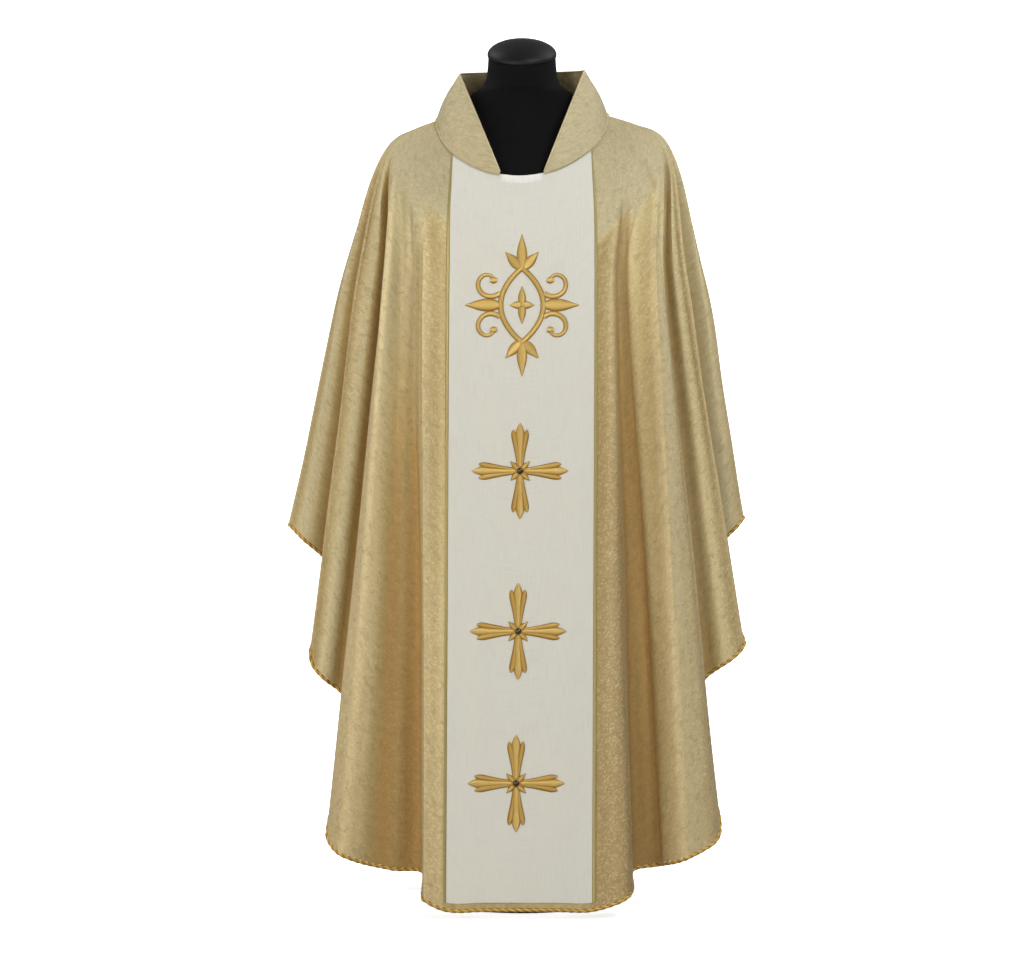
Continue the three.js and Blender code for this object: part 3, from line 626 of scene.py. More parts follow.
@dataclass
class Panel:
    """A cloth panel between the two wing seams."""

    drape: Drape
    name: str
    first: float
    last: float
    spacing: float = 5.4
    seam_gap: float = 0.004
    samples: int = 3000
    rows: tuple[int, ...] = (8, 9, 18, 37)

    def columns(self) -> Array:
        """Fold line numbers of the mesh's columns, evenly spaced between the two seams by the mean of the
        lengths across the chest and along the hem."""
        fine = np.linspace(self.first + self.seam_gap, self.last - self.seam_gap, self.samples)
        length = run(self.drape.smooth(fine, np.array([0.55, 1.0])), axis=1).mean(axis=0)
        return np.interp(np.linspace(0, length[-1], int(length[-1] / self.spacing)), length, fine)

    def build(self, material: Material, node: str) -> Piece:
        """Makes the panel as a thin shell on the cloth's surface.

        Args:
            material: the cloth's finish.
            node: the CAD node it stands for.

        Returns:
            The panel's object.
        """
        along, down = self.columns(), downs(*self.rows)
        middle, normal = self.drape.at(along, down)
        half = self.drape.thickness / 2 * normal
        # Painted shade and highlight from the folds' depth, and the drape's painted light.
        shade, tone = hollow(middle, normal), self.drape.tone(along, down)
        surface = Surface()
        surface.add_shell(middle, (half, -half), grid_lengths(middle), (shade, shade), (tone, tone))
        return surface.build(self.name, Slot.BROCADE, material, node)


def sunk_below(grid: Array, normal: Array, reach: int) -> Array:
    """How far each point lies below the mean of its row's neighbours within reach, along its normal."""
    padded = np.pad(grid, ((0, 0), (reach, reach), (0, 0)), mode="edge")
    total = np.cumsum(np.pad(padded, ((0, 0), (1, 0), (0, 0))), axis=1)
    width = 2 * reach + 1
    mean = (total[:, width:] - total[:, :-width]) / width
    return np.sum((mean - grid) * normal, axis=-1)


# Its value is the cloth's painted shading: painted shade in the hollows, a painted highlight on the crests.
def hollow(grid: Array, normal: Array) -> Array:
    """How deep each point lies between the folds beside it, from -1 on a crest to 1 in a hollow: the depth
    below a wide stretch of neighbours over 24 mm, plus the depth below a narrow one over 7 mm."""
    return np.clip(sunk_below(grid, normal, 16) / 24 + sunk_below(grid, normal, 4) / 7, -1, 1)


# ---------------------------------------------------------------- collar, orphrey and trims


@dataclass
class Collar:
    """The stand-away collar, from one front end round the nape to the other."""

    drape: Drape
    end_degrees: float = 15
    peak_degrees: float = 76
    peak_left: tuple = (-98.0, -16.0, 1317.0)
    peak_right: tuple = (98.0, -16.0, 1323.0)
    nape_y: float = 76
    nape_z: float = 1332
    end_height: float = 5
    lap: float = 0.02
    lift: float = 2.0
    band_lift: float = 3.3
    band_edge: float = 2.0
    clear_of_band: float = 2.7
    bulge: float = 5
    bulge_height: float = 90
    edge_curve: float = 12
    thickness: float = 3
    rounding: float = 5
    rim_share: float = 0.25
    # The piping's painted highlight.
    piping_radius: float = 1.5
    piping_shade: float = 0.6
    columns: int = 221
    lap_rows: int = 3
    rise_rows: int = 26

    def top(self, degrees: Array) -> Array:
        """The upper edge: a bowed line from the front end to the peak, then a quarter oval to the nape."""
        from_front = np.minimum(degrees, 360 - degrees)
        peak = np.where((degrees < 180)[:, None], self.peak_left, self.peak_right)
        share = np.clip((from_front - self.end_degrees) / (self.peak_degrees - self.end_degrees), 0, 1)
        foot = self.drape.neck_point(np.full(len(degrees), self.end_degrees))
        foot[:, 0] = np.sign(peak[:, 0]) * np.abs(foot[:, 0])
        foot[:, 2] += self.end_height
        edge = foot + (peak - foot) * share[:, None]
        edge[:, 1] -= self.edge_curve * np.sin(np.pi * share)
        turn = np.clip((from_front - self.peak_degrees) / (180 - self.peak_degrees), 0, 1) * np.pi / 2
        back = np.array([0.0, self.nape_y, self.nape_z])
        nape = peak * np.cos(turn)[:, None] * [1, 0, 0]
        nape += (peak + (back - peak) * np.sin(turn)[:, None]) * [0, 1, 1]
        return np.where((from_front < self.peak_degrees)[:, None], edge, nape)

    def middle(self) -> Array:
        """The collar's middle surface: a lap on the cloth, then a rise to the upper edge with a sine bulge."""
        degrees = np.linspace(self.end_degrees, 360 - self.end_degrees, self.columns)
        along = np.interp(degrees, np.append(FOLDS[:, 0], 360), np.arange(FOLD_COUNT + 1))
        on_band = 1 - smooth_step(self.band_edge, self.clear_of_band, np.minimum(along, FOLD_COUNT - along))
        out = self.lift + (self.band_lift - self.lift) * on_band + self.thickness / 2
        lap, _ = self.drape.at(along, np.linspace(self.lap, 0, self.lap_rows + 1)[:-1])
        seam, way = self.drape.at(along, np.zeros(1))
        lap = lap + way * out[None, :, None]
        seam = (seam + way * out[None, :, None])[0]
        top = self.top(degrees)
        swell = self.bulge * np.minimum(np.linalg.norm(top - seam, axis=-1) / self.bulge_height, 1)
        away = unit(seam * [1.0, 1.0, 0.0])
        top = top + away * self.thickness / 2
        share = np.linspace(0, 1, self.rise_rows)[:, None, None]
        rise = seam + (top - seam) * share + away * swell[:, None] * np.sin(np.pi * share)
        return np.concatenate([lap, rise])

    def build(self, material: Material, thread: Material) -> tuple[Piece, Piece]:
        """Makes the collar as a shell whose walls close in to a round edge, and the piping on its free edge.
        The collar has painted light over all of it, a little more at the nape, painted shade low down,
        a faint painted highlight higher up, and a painted highlight as bright as a crest on the inside behind
        the peaks.

        Args:
            material: the cloth's finish.
            thread: the piping's finish.

        Returns:
            The collar and its piping.
        """
        middle = self.middle()
        normal = -grid_normals(middle)
        uv = grid_lengths(middle)
        u, v = uv[..., 0] / MM, uv[..., 1] / MM
        rim = np.minimum.reduce([u - u[:, :1], u[:, -1:] - u, v, v[-1:] - v])
        near = 1 - np.clip(rim / self.rounding, 0, 1)
        half = self.thickness / 2 * (self.rim_share + (1 - self.rim_share) * np.sqrt(1 - near**2))
        half = normal * half[..., None]
        from_end = 0.5 - np.abs(np.linspace(-0.5, 0.5, self.columns))[None]
        behind = smooth_step(0.17, 0.21, from_end) * smooth_step(20, 40, v)
        # Painted shade low on the collar, a faint painted highlight higher up, painted light over all of it,
        # and a painted highlight as bright as a crest on the inside behind the peaks.
        shade = 0.15 - 0.25 * smooth_step(0, 40, v)
        tone = 1.17 + 0.1 * smooth_step(0.25, 0.45, from_end) * smooth_step(20, 60, v)
        shades = shade, shade + (-1 - shade) * behind
        tones = tone, tone + (1.02 - tone) * behind
        surface = Surface()
        surface.add_shell(middle, (half, -half), uv, shades, tones)
        collar = surface.build("collar_cloth", Slot.BROCADE, material, "collar")
        free = middle[self.lap_rows :]
        edge = np.concatenate([free[:-1, 0], free[-1], free[-2::-1, -1]])
        trim = Surface()
        trim.add_tube(round_rings(edge, self.piping_radius, 8), np.full((1, 1), self.piping_shade))
        return collar, trim.build("collar_piping", Slot.BROCADE, thread)


def round_rings(path: Array, radius: float, sides: int) -> Array:
    """Rings of points round a path, each square to it, with level side spokes."""
    ahead = unit(np.gradient(path, axis=0))
    aside = unit(np.cross(ahead, [0.05, 0.1, 1.0]))
    over = np.cross(aside, ahead)
    turn = circle(sides)[None, :, None]
    return path[:, None] + radius * (np.cos(turn) * aside[:, None] + np.sin(turn) * over[:, None])


# The section of a braid, from its edge beside the band: shares of its width and of its height.
BRAID_SECTION = np.array([
    [0.0, 0.0], [0.0, 0.5], [0.12, 0.85], [0.35, 1.0], [0.5, 0.9],
    [0.65, 1.0], [0.88, 0.85], [1.0, 0.5], [1.0, 0.0],
])


@dataclass
class Orphrey:
    """The ivory band down the front, with a narrow braid along each long edge."""

    drape: Drape
    edge: float = 2.0
    head: float = 0.004
    foot: float = 0.9965
    lift: float = 1.3
    thickness: float = 1
    rows: int = 200
    columns: int = 96
    fold_over: float = 13
    fold_thickness: float = 0.5
    opening: float = 31
    opening_run: float = 4
    braid_head: float = 0.024
    braid_gap: float = 0.4
    braid_width: float = 5
    braid_lift: float = 0.2
    braid_height: float = 1.4
    braid_rows: int = 330

    def face(self, columns: int, out: float) -> tuple[Array, Array]:
        """A grid on the band and its normals, moved out from the cloth's middle surface."""
        tenth = self.rows // 10
        steps = downs(tenth, tenth, 2 * tenth, 3 * tenth)
        along = np.linspace(-self.edge, self.edge, columns)
        return self.drape.at(along, self.head + (self.foot - self.head) * steps, out)

    def build(self, material: Material) -> Piece:
        """Makes the band, a little thicker where its head is folded over, with a painted highlight there."""
        grid, normal = self.face(self.columns, 0.0)
        uv = grid_lengths(grid)
        fold = 1 - smooth_step(self.fold_over - 1, self.fold_over, uv[..., 1] / MM)
        aside = np.abs(grid[..., 0]) - self.opening
        fold *= 1 - smooth_step(-self.opening_run, self.opening_run, aside)
        thick = self.thickness + self.fold_thickness * fold
        surface = Surface()
        # The fold also gives the painted highlight on the band's folded head.
        surface.add_shell(grid + normal * self.lift, (normal * thick[..., None], 0.0), uv, (fold, fold))
        return surface.build("orphrey_cloth", Slot.IVORY, material, "orphrey")

    def braid(self, side: Side, material: Material) -> Piece:
        """A flat braid with rounded edges, just outside the band.

        Args:
            side: the side of the band.
            material: the thread's finish.

        Returns:
            The braid.
        """
        down = self.braid_head + (self.foot - self.braid_head) * np.linspace(0, 1, self.braid_rows)
        edge, reach = self.edge * side.value, 0.12
        pair, normal = self.drape.at(np.array([edge, edge + side.value * reach]), down)
        beyond = (pair[:, 1] - pair[:, 0]) / (reach * self.drape.space(edge, down))[:, None]
        aside = self.braid_gap + BRAID_SECTION[:, 0] * self.braid_width
        out = self.lift + self.braid_lift + BRAID_SECTION[:, 1] * (self.braid_height - self.braid_lift)
        rings = pair[:, None, 0] + beyond[:, None] * aside[:, None] + normal[:, None, 0] * out[:, None]
        surface = Surface()
        surface.add_tube(rings)
        name = side.name.lower()
        return surface.build(f"braid_{name}_thread", Slot.GOLD, material, f"braid_{name}")


@dataclass
class HemCord:
    """The twisted cord round the hem, sewn on just below the cloth's edge."""

    drape: Drape
    first: float
    last: float
    radius: float = 3.1
    core: float = 0.74
    strand: float = 0.30
    drop: float = 2.9
    pitch: float = 12
    step: float = 1.9
    sides: int = 12
    end_gap: float = 0.01
    samples: int = 4000

    def build(self, name: str, node: str, material: Material) -> Piece:
        """Makes the cord: its section grows from the core by the cosine of the turn of two strands, which
        turn with the length.

        Args:
            name: the piece's name.
            node: the CAD node it stands for.
            material: the thread's finish.

        Returns:
            The cord.
        """
        fine = np.linspace(self.first + self.end_gap, self.last - self.end_gap, self.samples)
        hem, normal = (points[0] for points in self.drape.at(fine, np.ones(1)))
        length = run(hem)
        even = np.arange(0, length[-1], self.step)
        hem, normal = (
            np.column_stack([np.interp(even, length, points[:, k]) for k in range(3)])
            for points in (hem, normal)
        )
        normal = unit(normal)
        fall = unit(np.cross(normal, unit(np.gradient(hem, axis=0))))
        turn = circle(self.sides)[None]
        strand = np.abs(np.cos(turn - np.pi * even[:, None] / self.pitch))
        spoke = np.cos(turn)[..., None] * fall[:, None] + np.sin(turn)[..., None] * normal[:, None]
        radius = self.radius * (self.core + self.strand * strand)
        surface = Surface()
        # Painted highlight on the strands' crowns and painted shade in the grooves between them.
        surface.add_tube((hem + fall * self.drop)[:, None] + radius[..., None] * spoke, 2 * strand - 1)
        return surface.build(name, Slot.GOLD, material, node)


# ---------------------------------------------------------------- embroidery


@dataclass
class Strip:
    """A satin-stitched strip: stations of x, z and half width along its middle line, and its height."""

    stations: Array
    crown: float = 2.0
    # Painted light added to the stitches, under 0 painted shade.
    tone: float = 0.0


def strip(x: Array, z: Array, half: Array, crown: float = 2.0, tone: float = 0.0) -> Strip:
    """A strip from its columns, any of which may be one number for all stations."""
    return Strip(np.column_stack(np.broadcast_arrays(x, z, half)), crown, tone)


@dataclass
class Embroidery:
    """Raised satin stitching on the orphrey."""

    orphrey: Orphrey
    clearance: float = 0.25
    padding: float = 0.3
    spacing: float = 1.6
    thinnest: float = 0.5
    steepest: float = 0.7
    # Painted shade along the strip's underside.
    edge_shade: float = -0.8
    across: int = 9
    columns: int = 41

    def __post_init__(self) -> None:
        """Works out the face of the orphrey once, with its slopes."""
        out = self.orphrey.lift + self.orphrey.thickness
        self.grid, self.normal = self.orphrey.face(self.columns, out)
        self.by_row, self.by_column = np.gradient(self.grid, axis=(0, 1))

    def pick(self, table: Array, row: Array, column: Array) -> Array:
        """Values of a table between its grid points, weighed by the nearness of the four corners."""
        r = np.clip(np.floor(row).astype(int), 0, table.shape[0] - 2)
        c = np.clip(np.floor(column).astype(int), 0, table.shape[1] - 2)
        u, v = (row - r)[..., None], (column - c)[..., None]
        upper = table[r, c] * (1 - v) + table[r, c + 1] * v
        lower = table[r + 1, c] * (1 - v) + table[r + 1, c + 1] * v
        return upper * (1 - u) + lower * u

    def on_face(self, x: Array, z: Array) -> tuple[Array, Array]:
        """The point in front of the orphrey at a width and a height, found by a few Newton steps on the grid.

        Args:
            x: widths.
            z: heights.

        Returns:
            The points and the normals there.
        """
        rows, columns = self.grid.shape[:2]
        row = np.interp(-z, -self.grid[:, columns // 2, 2], np.arange(rows))
        column = np.full(x.shape, columns / 2)
        for _ in range(6):
            miss = np.stack([x, z], axis=-1) - self.pick(self.grid, row, column)[..., [0, 2]]
            a = self.pick(self.by_row, row, column)[..., [0, 2]]
            b = self.pick(self.by_column, row, column)[..., [0, 2]]
            area = a[..., 0] * b[..., 1] - a[..., 1] * b[..., 0]
            down = (miss[..., 0] * b[..., 1] - miss[..., 1] * b[..., 0]) / area
            over = (a[..., 0] * miss[..., 1] - a[..., 1] * miss[..., 0]) / area
            row, column = np.clip(row + down, 0, rows - 1), np.clip(column + over, 0, columns - 1)
        return self.pick(self.grid, row, column), unit(self.pick(self.normal, row, column))

    def add(self, surface: Surface, work: Strip) -> None:
        """Adds one strip: its section is a low arch, the root of one minus the square of the way across.

        Args:
            surface: what it is added to.
            work: its middle line, height and tone.
        """
        stations = work.stations.astype(float)
        count = max(int(run(stations[:, :2])[-1] / self.spacing), 6)
        line = catmull_rom(stations, np.linspace(0, 1, count))
        half = np.maximum(line[:, 2:], self.thinnest)
        ahead = unit(np.gradient(line[:, :2], axis=0))
        aside = np.stack([-ahead[:, 1], ahead[:, 0]], axis=-1)
        across = np.linspace(-1, 1, self.across)
        place = line[:, None, :2] + aside[:, None] * (half * across)[..., None]
        base, normal = self.on_face(place[..., 0], place[..., 1])
        arch = np.sqrt(np.maximum(1 - across**2, 0)) * np.minimum(work.crown, half * self.steepest)
        upper = base + normal * (self.clearance + self.padding + arch)[..., None]
        lower = base[:, [-1, 0]] + normal[:, [-1, 0]] * self.clearance
        # Painted highlight along the middle of the arch, painted shade toward its edges and on its underside,
        # plus the strip's painted light.
        shade = work.tone + np.concatenate([1 - 1.6 * across**2, [self.edge_shade] * 2])
        surface.add_tube(np.concatenate([upper, lower], axis=1), shade[None])

    def build(self, strips: Sequence[Strip], name: str, node: str, material: Material) -> Piece:
        """Makes one embroidered piece from its strips."""
        surface = Surface()
        for work in strips:
            self.add(surface, work)
        return surface.build(name, Slot.GOLD, material, node)


def leaf(x: float, z: float, degrees: float, length: float, widest: float, tone: float = 0.0) -> list[Strip]:
    """A pointed leaf with a fine vein: its half width is a sine of the way along it to the power 0.8."""
    share = np.linspace(0, 1, 9)
    turn = np.radians(degrees)
    across, up = x + np.cos(turn) * length * share, z + np.sin(turn) * length * share
    half = np.maximum(widest * np.sin(np.pi * share**0.8), 0.9)
    vein = max(widest * 0.12, 0.8)
    # The leaf takes the given painted light, and its vein painted shade below that.
    return [strip(across, up, half, 1.7, tone), strip(across[1:-1], up[1:-1], vein, 2.4, tone - 0.9)]


# The ribs of a cross's arm: share of the reach, distance from the arm's middle, and half width.
MIDDLE_RIB = np.array([
    [0.10, 0, 3.4], [0.35, 0, 3.8], [0.6, 0, 5.0], [0.8, 0, 6.6], [0.91, 0, 4.2], [1.0, 0, 0.6],
])
SIDE_RIB = np.array([
    [0.14, 3.0, 2.4], [0.36, 4.8, 3.2], [0.58, 7.2, 4.2], [0.74, 9.2, 4.4], [0.82, 10.4, 2.6],
    [0.86, 11.0, 0.6],
])


@dataclass
class Cross:
    """A cross of four flared arms, each of three satin ribs, on a square turned on its corner."""

    x: float
    z: float
    reach: float = 74
    centre_half: float = 19
    corner_leaf: float = 21
    stone_radius: float = 5
    stone_foot: float = 1.6
    stone_girdle: float = 0.9
    stone_height: float = 3.2
    stone_sides: int = 28

    def rib(self, degrees: float, table: Array, sign: float, crown: float, tone: float) -> Strip:
        """A rib along an arm, from a table of its stations and the side of the arm that it lies on."""
        turn = np.radians(degrees)
        out, aside = self.reach * table[:, 0], sign * table[:, 1]
        x = self.x + np.cos(turn) * out - np.sin(turn) * aside
        z = self.z + np.sin(turn) * out + np.cos(turn) * aside
        return strip(x, z, table[:, 2], crown, tone)

    def strips(self) -> list[Strip]:
        """All ribs of the cross, its square and the leaves on the square's corners."""
        way = self.centre_half * np.array([-1, -0.5, 0, 0.5, 1])
        half = np.array([0.6, 7.0, 13.0, 7.0, 0.6])
        # Painted light on the stitches: painted shade on the square, the side ribs and the corner leaves, one
        # side rib darker than the other, and a painted highlight on the middle rib.
        found = [strip(self.x + way, self.z, half, 0.9, -0.5), strip(self.x, self.z + way, half, 0.9, -0.5)]
        for degrees in (0, 90, 180, 270):
            found.append(self.rib(degrees, SIDE_RIB, 1, crown=1.5, tone=-0.35))
            found.append(self.rib(degrees, SIDE_RIB, -1, crown=1.5, tone=-0.55))
            found.append(self.rib(degrees, MIDDLE_RIB, 1, crown=2.2, tone=0.35))
            found.extend(leaf(self.x, self.z, degrees + 45, self.corner_leaf, 4.6, tone=-0.3))
        return found

    def stone(self, work: Embroidery, name: str, node: str, material: Material) -> Piece:
        """The round stone over the crossing: a dome with a quarter of an ellipse as section, on a short foot.

        Args:
            work: the embroidery it is sewn over.
            name: the piece's name.
            node: the CAD node it stands for.
            material: the stone's finish.

        Returns:
            The stone.
        """
        point, normal = (found[0] for found in work.on_face(np.array([self.x]), np.array([self.z])))
        over = unit(np.cross(normal, [1.0, 0.0, 0.0]))
        aside = np.cross(over, normal)
        rise = np.append(0.0, np.linspace(0, np.pi / 2, 9)[:-1])
        radius = self.stone_radius * np.cos(rise)
        height = self.stone_foot + self.stone_height * np.sin(rise)
        height[1:] += self.stone_girdle
        turn = circle(self.stone_sides)[:, None]
        ring = np.cos(turn) * aside + np.sin(turn) * over
        surface = Surface()
        surface.add_tube(point + radius[:, None, None] * ring + height[:, None, None] * normal)
        return surface.build(name, Slot.STONE, material, node)


@dataclass
class Ornament:
    """A pointed oval ring with scrolls and leaves round a four-leaved flower."""

    x: float = 0
    z: float = 942
    ring_half_width: float = 33
    ring_half_height: float = 58
    stroke: float = 4.2
    vein: float = 0.9
    scroll_x: float = 51
    scroll_z: float = 35
    scroll_start: float = 24
    scroll_end: float = 8
    scroll_tail: float = 2.4
    scroll_degrees: float = -135
    scroll_sweep: float = 290
    side_leaf: float = 60
    petal_overlap: float = 3

    def knot(
        self, x: float, z: float, reach: float, end: float, middle: float, crown: float, tone: float
    ) -> Strip:
        """A short round knot of stitches."""
        return strip(x + reach * np.array([-1, 0, 1]), z, np.array([end, middle, end]), crown, tone)

    def scroll(self, side: int, up: int) -> list[Strip]:
        """A scroll whose radius and width shrink evenly as it turns, with a bud at its end."""
        way = np.linspace(0, 1, 21)
        turn = np.radians(self.scroll_degrees + self.scroll_sweep * way)
        radius = self.scroll_start + (self.scroll_end - self.scroll_start) * way
        x = self.x + side * (self.scroll_x + radius * np.cos(turn))
        z = self.z + up * (self.scroll_z + radius * np.sin(turn))
        half = self.stroke + (self.scroll_tail - self.stroke) * way
        # The scroll and its bud get a little painted light.
        return [strip(x, z, half, 2.0, 0.1), self.knot(x[-1], z[-1], 5.0, 3.2, 5.4, 2.4, 0.2)]

    def strips(self) -> list[Strip]:
        """The ring's two bows, the four scrolls with their buds, and the leaves at sides, head and foot."""
        found = []
        share = np.linspace(-1, 1, 13)
        for side in (1, -1):
            bow = self.x + side * self.ring_half_width * (1 - share**2)
            rise = self.z + self.ring_half_height * share
            # The bow's vein gets painted shade.
            found += [strip(bow, rise, self.stroke, 2.2), strip(bow, rise, self.vein, 3.0, -0.9)]
            found += self.scroll(side, 1) + self.scroll(side, -1)
            found += leaf(self.x + side * 28, self.z, 0 if side > 0 else 180, self.side_leaf, 10)
        for up in (1, -1):
            foot = self.z + up * (self.ring_half_height - 4)
            for lean, length in ((-42, 38), (42, 38), (0, 56)):
                # The leaves at head and foot get painted light, the middle one most.
                found += leaf(self.x, foot, up * (90 + lean), length, 8, tone=0.1 if lean else 0.3)
        return found

    def flower(self) -> list[Strip]:
        """Four leaves that meet in the middle of the ring, with a knot."""
        found = []
        for degrees, length in ((0, 22), (90, 32), (180, 22), (270, 32)):
            x = self.x - self.petal_overlap * np.cos(np.radians(degrees))
            z = self.z - self.petal_overlap * np.sin(np.radians(degrees))
            # The petals get a little painted light.
            found += leaf(x, z, degrees, length, 6, tone=0.2)
        return found + [self.knot(self.x, self.z, 4.2, 1.6, 4.4, 3.0, 0.0)]


# ---------------------------------------------------------------- dress form and stand

# Levels of the form: height, half width, depth to the front, depth to the back, and tilt.
FORM_LEVELS = np.array([
    [600, 138, 92, 92, 0], [612, 150, 104, 104, 0], [700, 160, 112, 116, 0], [800, 150, 104, 104, 0],
    [880, 140, 96, 92, 0], [980, 156, 112, 102, 0], [1060, 172, 118, 110, 0], [1110, 184, 112, 112, 0],
    [1150, 190, 98, 106, 0], [1185, 184, 76, 94, 0], [1210, 158, 60, 85, 0], [1232, 130, 50.5, 77, 0],
    [1254, 106, 47, 70, 0], [1275, 92, 48, 66, 0], [1290, 78, 50, 62, 2], [1299, 65, 52, 60, 5],
    [1310, 58, 53, 58, 9], [1330, 55, 54, 57, 14], [1346, 54, 54, 56, 20],
], float)

# Levels of the cap: lift above the neck's top, and growth of its size.
CAP_LEVELS = np.array([
    [0.4, -1], [1.2, 0.8], [2.4, 1.2], [8, 1], [15, -4], [22, -16], [26, -30], [28, -44], [28.4, -52],
], float)


@dataclass
class DressForm:
    """The limbless form: levels of an oval from hip to neck, and a rounded cap on the slanted neck."""

    sides: int = 96
    rows: int = 160
    cap_rows: int = 60
    clearance: float = 1.6
    bare_from: float = 1270
    bare_above: float = 1300

    def rings(self, levels: Array, grow: Array) -> Array:
        """Rings of the form: sine and cosine of the turn, with the depth of its half, low at the front."""
        turn = circle(self.sides)[None]
        forward = np.cos(turn)
        height, half, front, back, tilt = (levels[:, k][:, None] for k in range(5))
        grow = grow[:, None]
        full = np.where(forward > 0, front, back)
        depth = full + grow
        drop = tilt * forward * depth / full
        return np.stack([(half + grow) * np.sin(turn), -depth * forward, height - drop], axis=-1)

    def body(self, material: Material) -> Piece:
        """Makes the body as one smooth closed skin, drawn in under the cloth."""
        levels = catmull_rom(FORM_LEVELS, np.linspace(0, 1, self.rows))
        grow = -self.clearance * (1 - smooth_step(self.bare_from, self.bare_above, levels[:, 0]))
        surface = Surface()
        surface.add_tube(self.rings(levels, grow))
        return surface.build("dress_form", Slot.JERSEY, material, "form_body")

    def cap(self, material: Material) -> Piece:
        """Makes the neck's cap: the neck's top ring, lifted and drawn in level by level."""
        dome = catmull_rom(CAP_LEVELS, np.linspace(0, 1, self.cap_rows))
        levels = np.repeat(FORM_LEVELS[-1:], len(dome), axis=0)
        levels[:, 0] += dome[:, 0]
        surface = Surface()
        surface.add_tube(self.rings(levels, dome[:, 1]))
        return surface.build("form_cap", Slot.CAP, material, "neck_cap")


@dataclass
class Stand:
    """The low stand: a pole in a hub on a round foot."""

    pole_radius: float = 14
    pole_top: float = 599.7
    pole_gap: float = 0.2
    hub_radius: float = 26
    hub_height: float = 34
    foot_radius: float = 140
    foot_edge: float = 4
    foot_thickness: float = 7
    sides: int = 96

    def turned(self, profile: list, name: str, material: Material, node: str) -> Piece:
        """Makes a piece from a profile of radius and height, turned about the upright axis."""
        turn = circle(self.sides)[None]
        radius, height = np.array(profile).T[:, :, None]
        surface = Surface()
        rings = [radius * np.sin(turn), -radius * np.cos(turn), height + 0 * turn]
        surface.add_tube(np.stack(rings, axis=-1))
        return surface.build(name, Slot.METAL, material, node)

    def foot(self, material: Material) -> Piece:
        """Makes the foot, with rounded rim and a fillet at the hub."""
        rim, edge, hub, thick, top = (
            self.foot_radius, self.foot_edge, self.hub_radius, self.foot_thickness, self.hub_height
        )
        profile = [
            [rim * 0.5, 0], [rim - 1, 0], [rim, 0.8], [rim, edge - 1], [rim - 1, edge], [rim - 8, thick],
            [hub + 8, thick + 2], [hub + 3, thick + 4], [hub, thick + 8], [hub, top - 2], [hub - 2, top],
            [hub * 0.5, top],
        ]
        return self.turned(profile, "foot_plate", material, "stand_foot")

    def pole(self, material: Material) -> Piece:
        """Makes the pole, with a narrow chamfer at each end."""
        low, top, r = self.hub_height + self.pole_gap, self.pole_top, self.pole_radius
        profile = [[r * 0.5, low], [r - 1, low], [r, low + 1], [r, top - 1], [r - 1, top], [r * 0.5, top]]
        return self.turned(profile, "pole_tube", material, "stand_pole")


# ---------------------------------------------------------------- shared effects


def fill(tree: NodeTree, target: Node, inputs: dict) -> None:
    """Gives each named or numbered input of a node its value or its link."""
    for name, value in inputs.items():
        if isinstance(value, Socket):
            tree.links.new(value, target.inputs[name])
        else:
            target.inputs[name].default_value = value


def node(tree: NodeTree, kind: str, inputs: Optional[dict] = None, **settings: object) -> Node:
    """Adds a shader node with its settings and inputs."""
    made = tree.nodes.new("ShaderNode" + kind)
    for name, value in settings.items():
        setattr(made, name, value)
    fill(tree, made, inputs or {})
    return made


def maths(tree: NodeTree, operation: str, *values: object) -> Socket:
    """A Math node's result for two or three values or sockets."""
    return node(tree, "Math", dict(enumerate(values)), operation=operation).outputs[0]


def ridges(tree: NodeTree, value: Socket) -> Socket:
    """Round ridges, one for each whole step of a value: the size of its half sine."""
    return maths(tree, "ABSOLUTE", maths(tree, "SINE", maths(tree, "MULTIPLY", value, np.pi)))


def blended(tree: NodeTree, share: object, a: object, b: object, mode: str = "MIX") -> Socket:
    """A colour Mix node's result."""
    return node(tree, "Mix", {0: share, 6: a, 7: b}, data_type="RGBA", blend_type=mode).outputs[2]


def ramp(
    tree: NodeTree, value: Socket, low: object = 0.0, high: float = 1.0, first: float = 0.0, last: float = 1.0
) -> Socket:
    """A Map Range node's result, which goes from first to last as the value goes from low to high."""
    inputs = {"Value": value, "From Min": low, "From Max": high, "To Min": first, "To Max": last}
    return node(tree, "MapRange", inputs).outputs[0]


def cloud(
    tree: NodeTree, place: Socket, scale: float, detail: float, rough: float = 0.5, bent: float = 0.0
) -> Socket:
    """A Noise Texture's value."""
    inputs = {"Vector": place, "Scale": scale, "Detail": detail, "Roughness": rough, "Distortion": bent}
    return node(tree, "TexNoise", inputs).outputs["Fac"]


def attribute(tree: NodeTree, name: str) -> Socket:
    """The value of a mesh's attribute."""
    return node(tree, "Attribute", attribute_name=name).outputs["Fac"]


def cloth_map(tree: NodeTree) -> Socket:
    """The piece's own UV map."""
    return node(tree, "UVMap", uv_map="cloth").outputs[0]


def bump(
    tree: NodeTree, height: Socket, distance: float, strength: float, over: Optional[Socket] = None
) -> Socket:
    """A Bump node's normal, over another one if it is given."""
    inputs = {"Height": height, "Distance": distance, "Strength": strength}
    return node(tree, "Bump", inputs | ({"Normal": over} if over else {})).outputs["Normal"]


def group(name: str, inputs: dict, outputs: dict) -> tuple[NodeTree, Node, Node]:
    """A new shader node group with named sockets.

    Args:
        name: the group's name.
        inputs: each input's kind of socket and default.
        outputs: each output's kind of socket.

    Returns:
        The tree, its input node and its output node.
    """
    tree = bpy.data.node_groups.new(name, "ShaderNodeTree")
    for label, (kind, default) in inputs.items():
        socket = tree.interface.new_socket(label, in_out="INPUT", socket_type=f"NodeSocket{kind}")
        if default is not None:
            socket.default_value = default
    for label, kind in outputs.items():
        tree.interface.new_socket(label, in_out="OUTPUT", socket_type=f"NodeSocket{kind}")
    return tree, tree.nodes.new("NodeGroupInput"), tree.nodes.new("NodeGroupOutput")


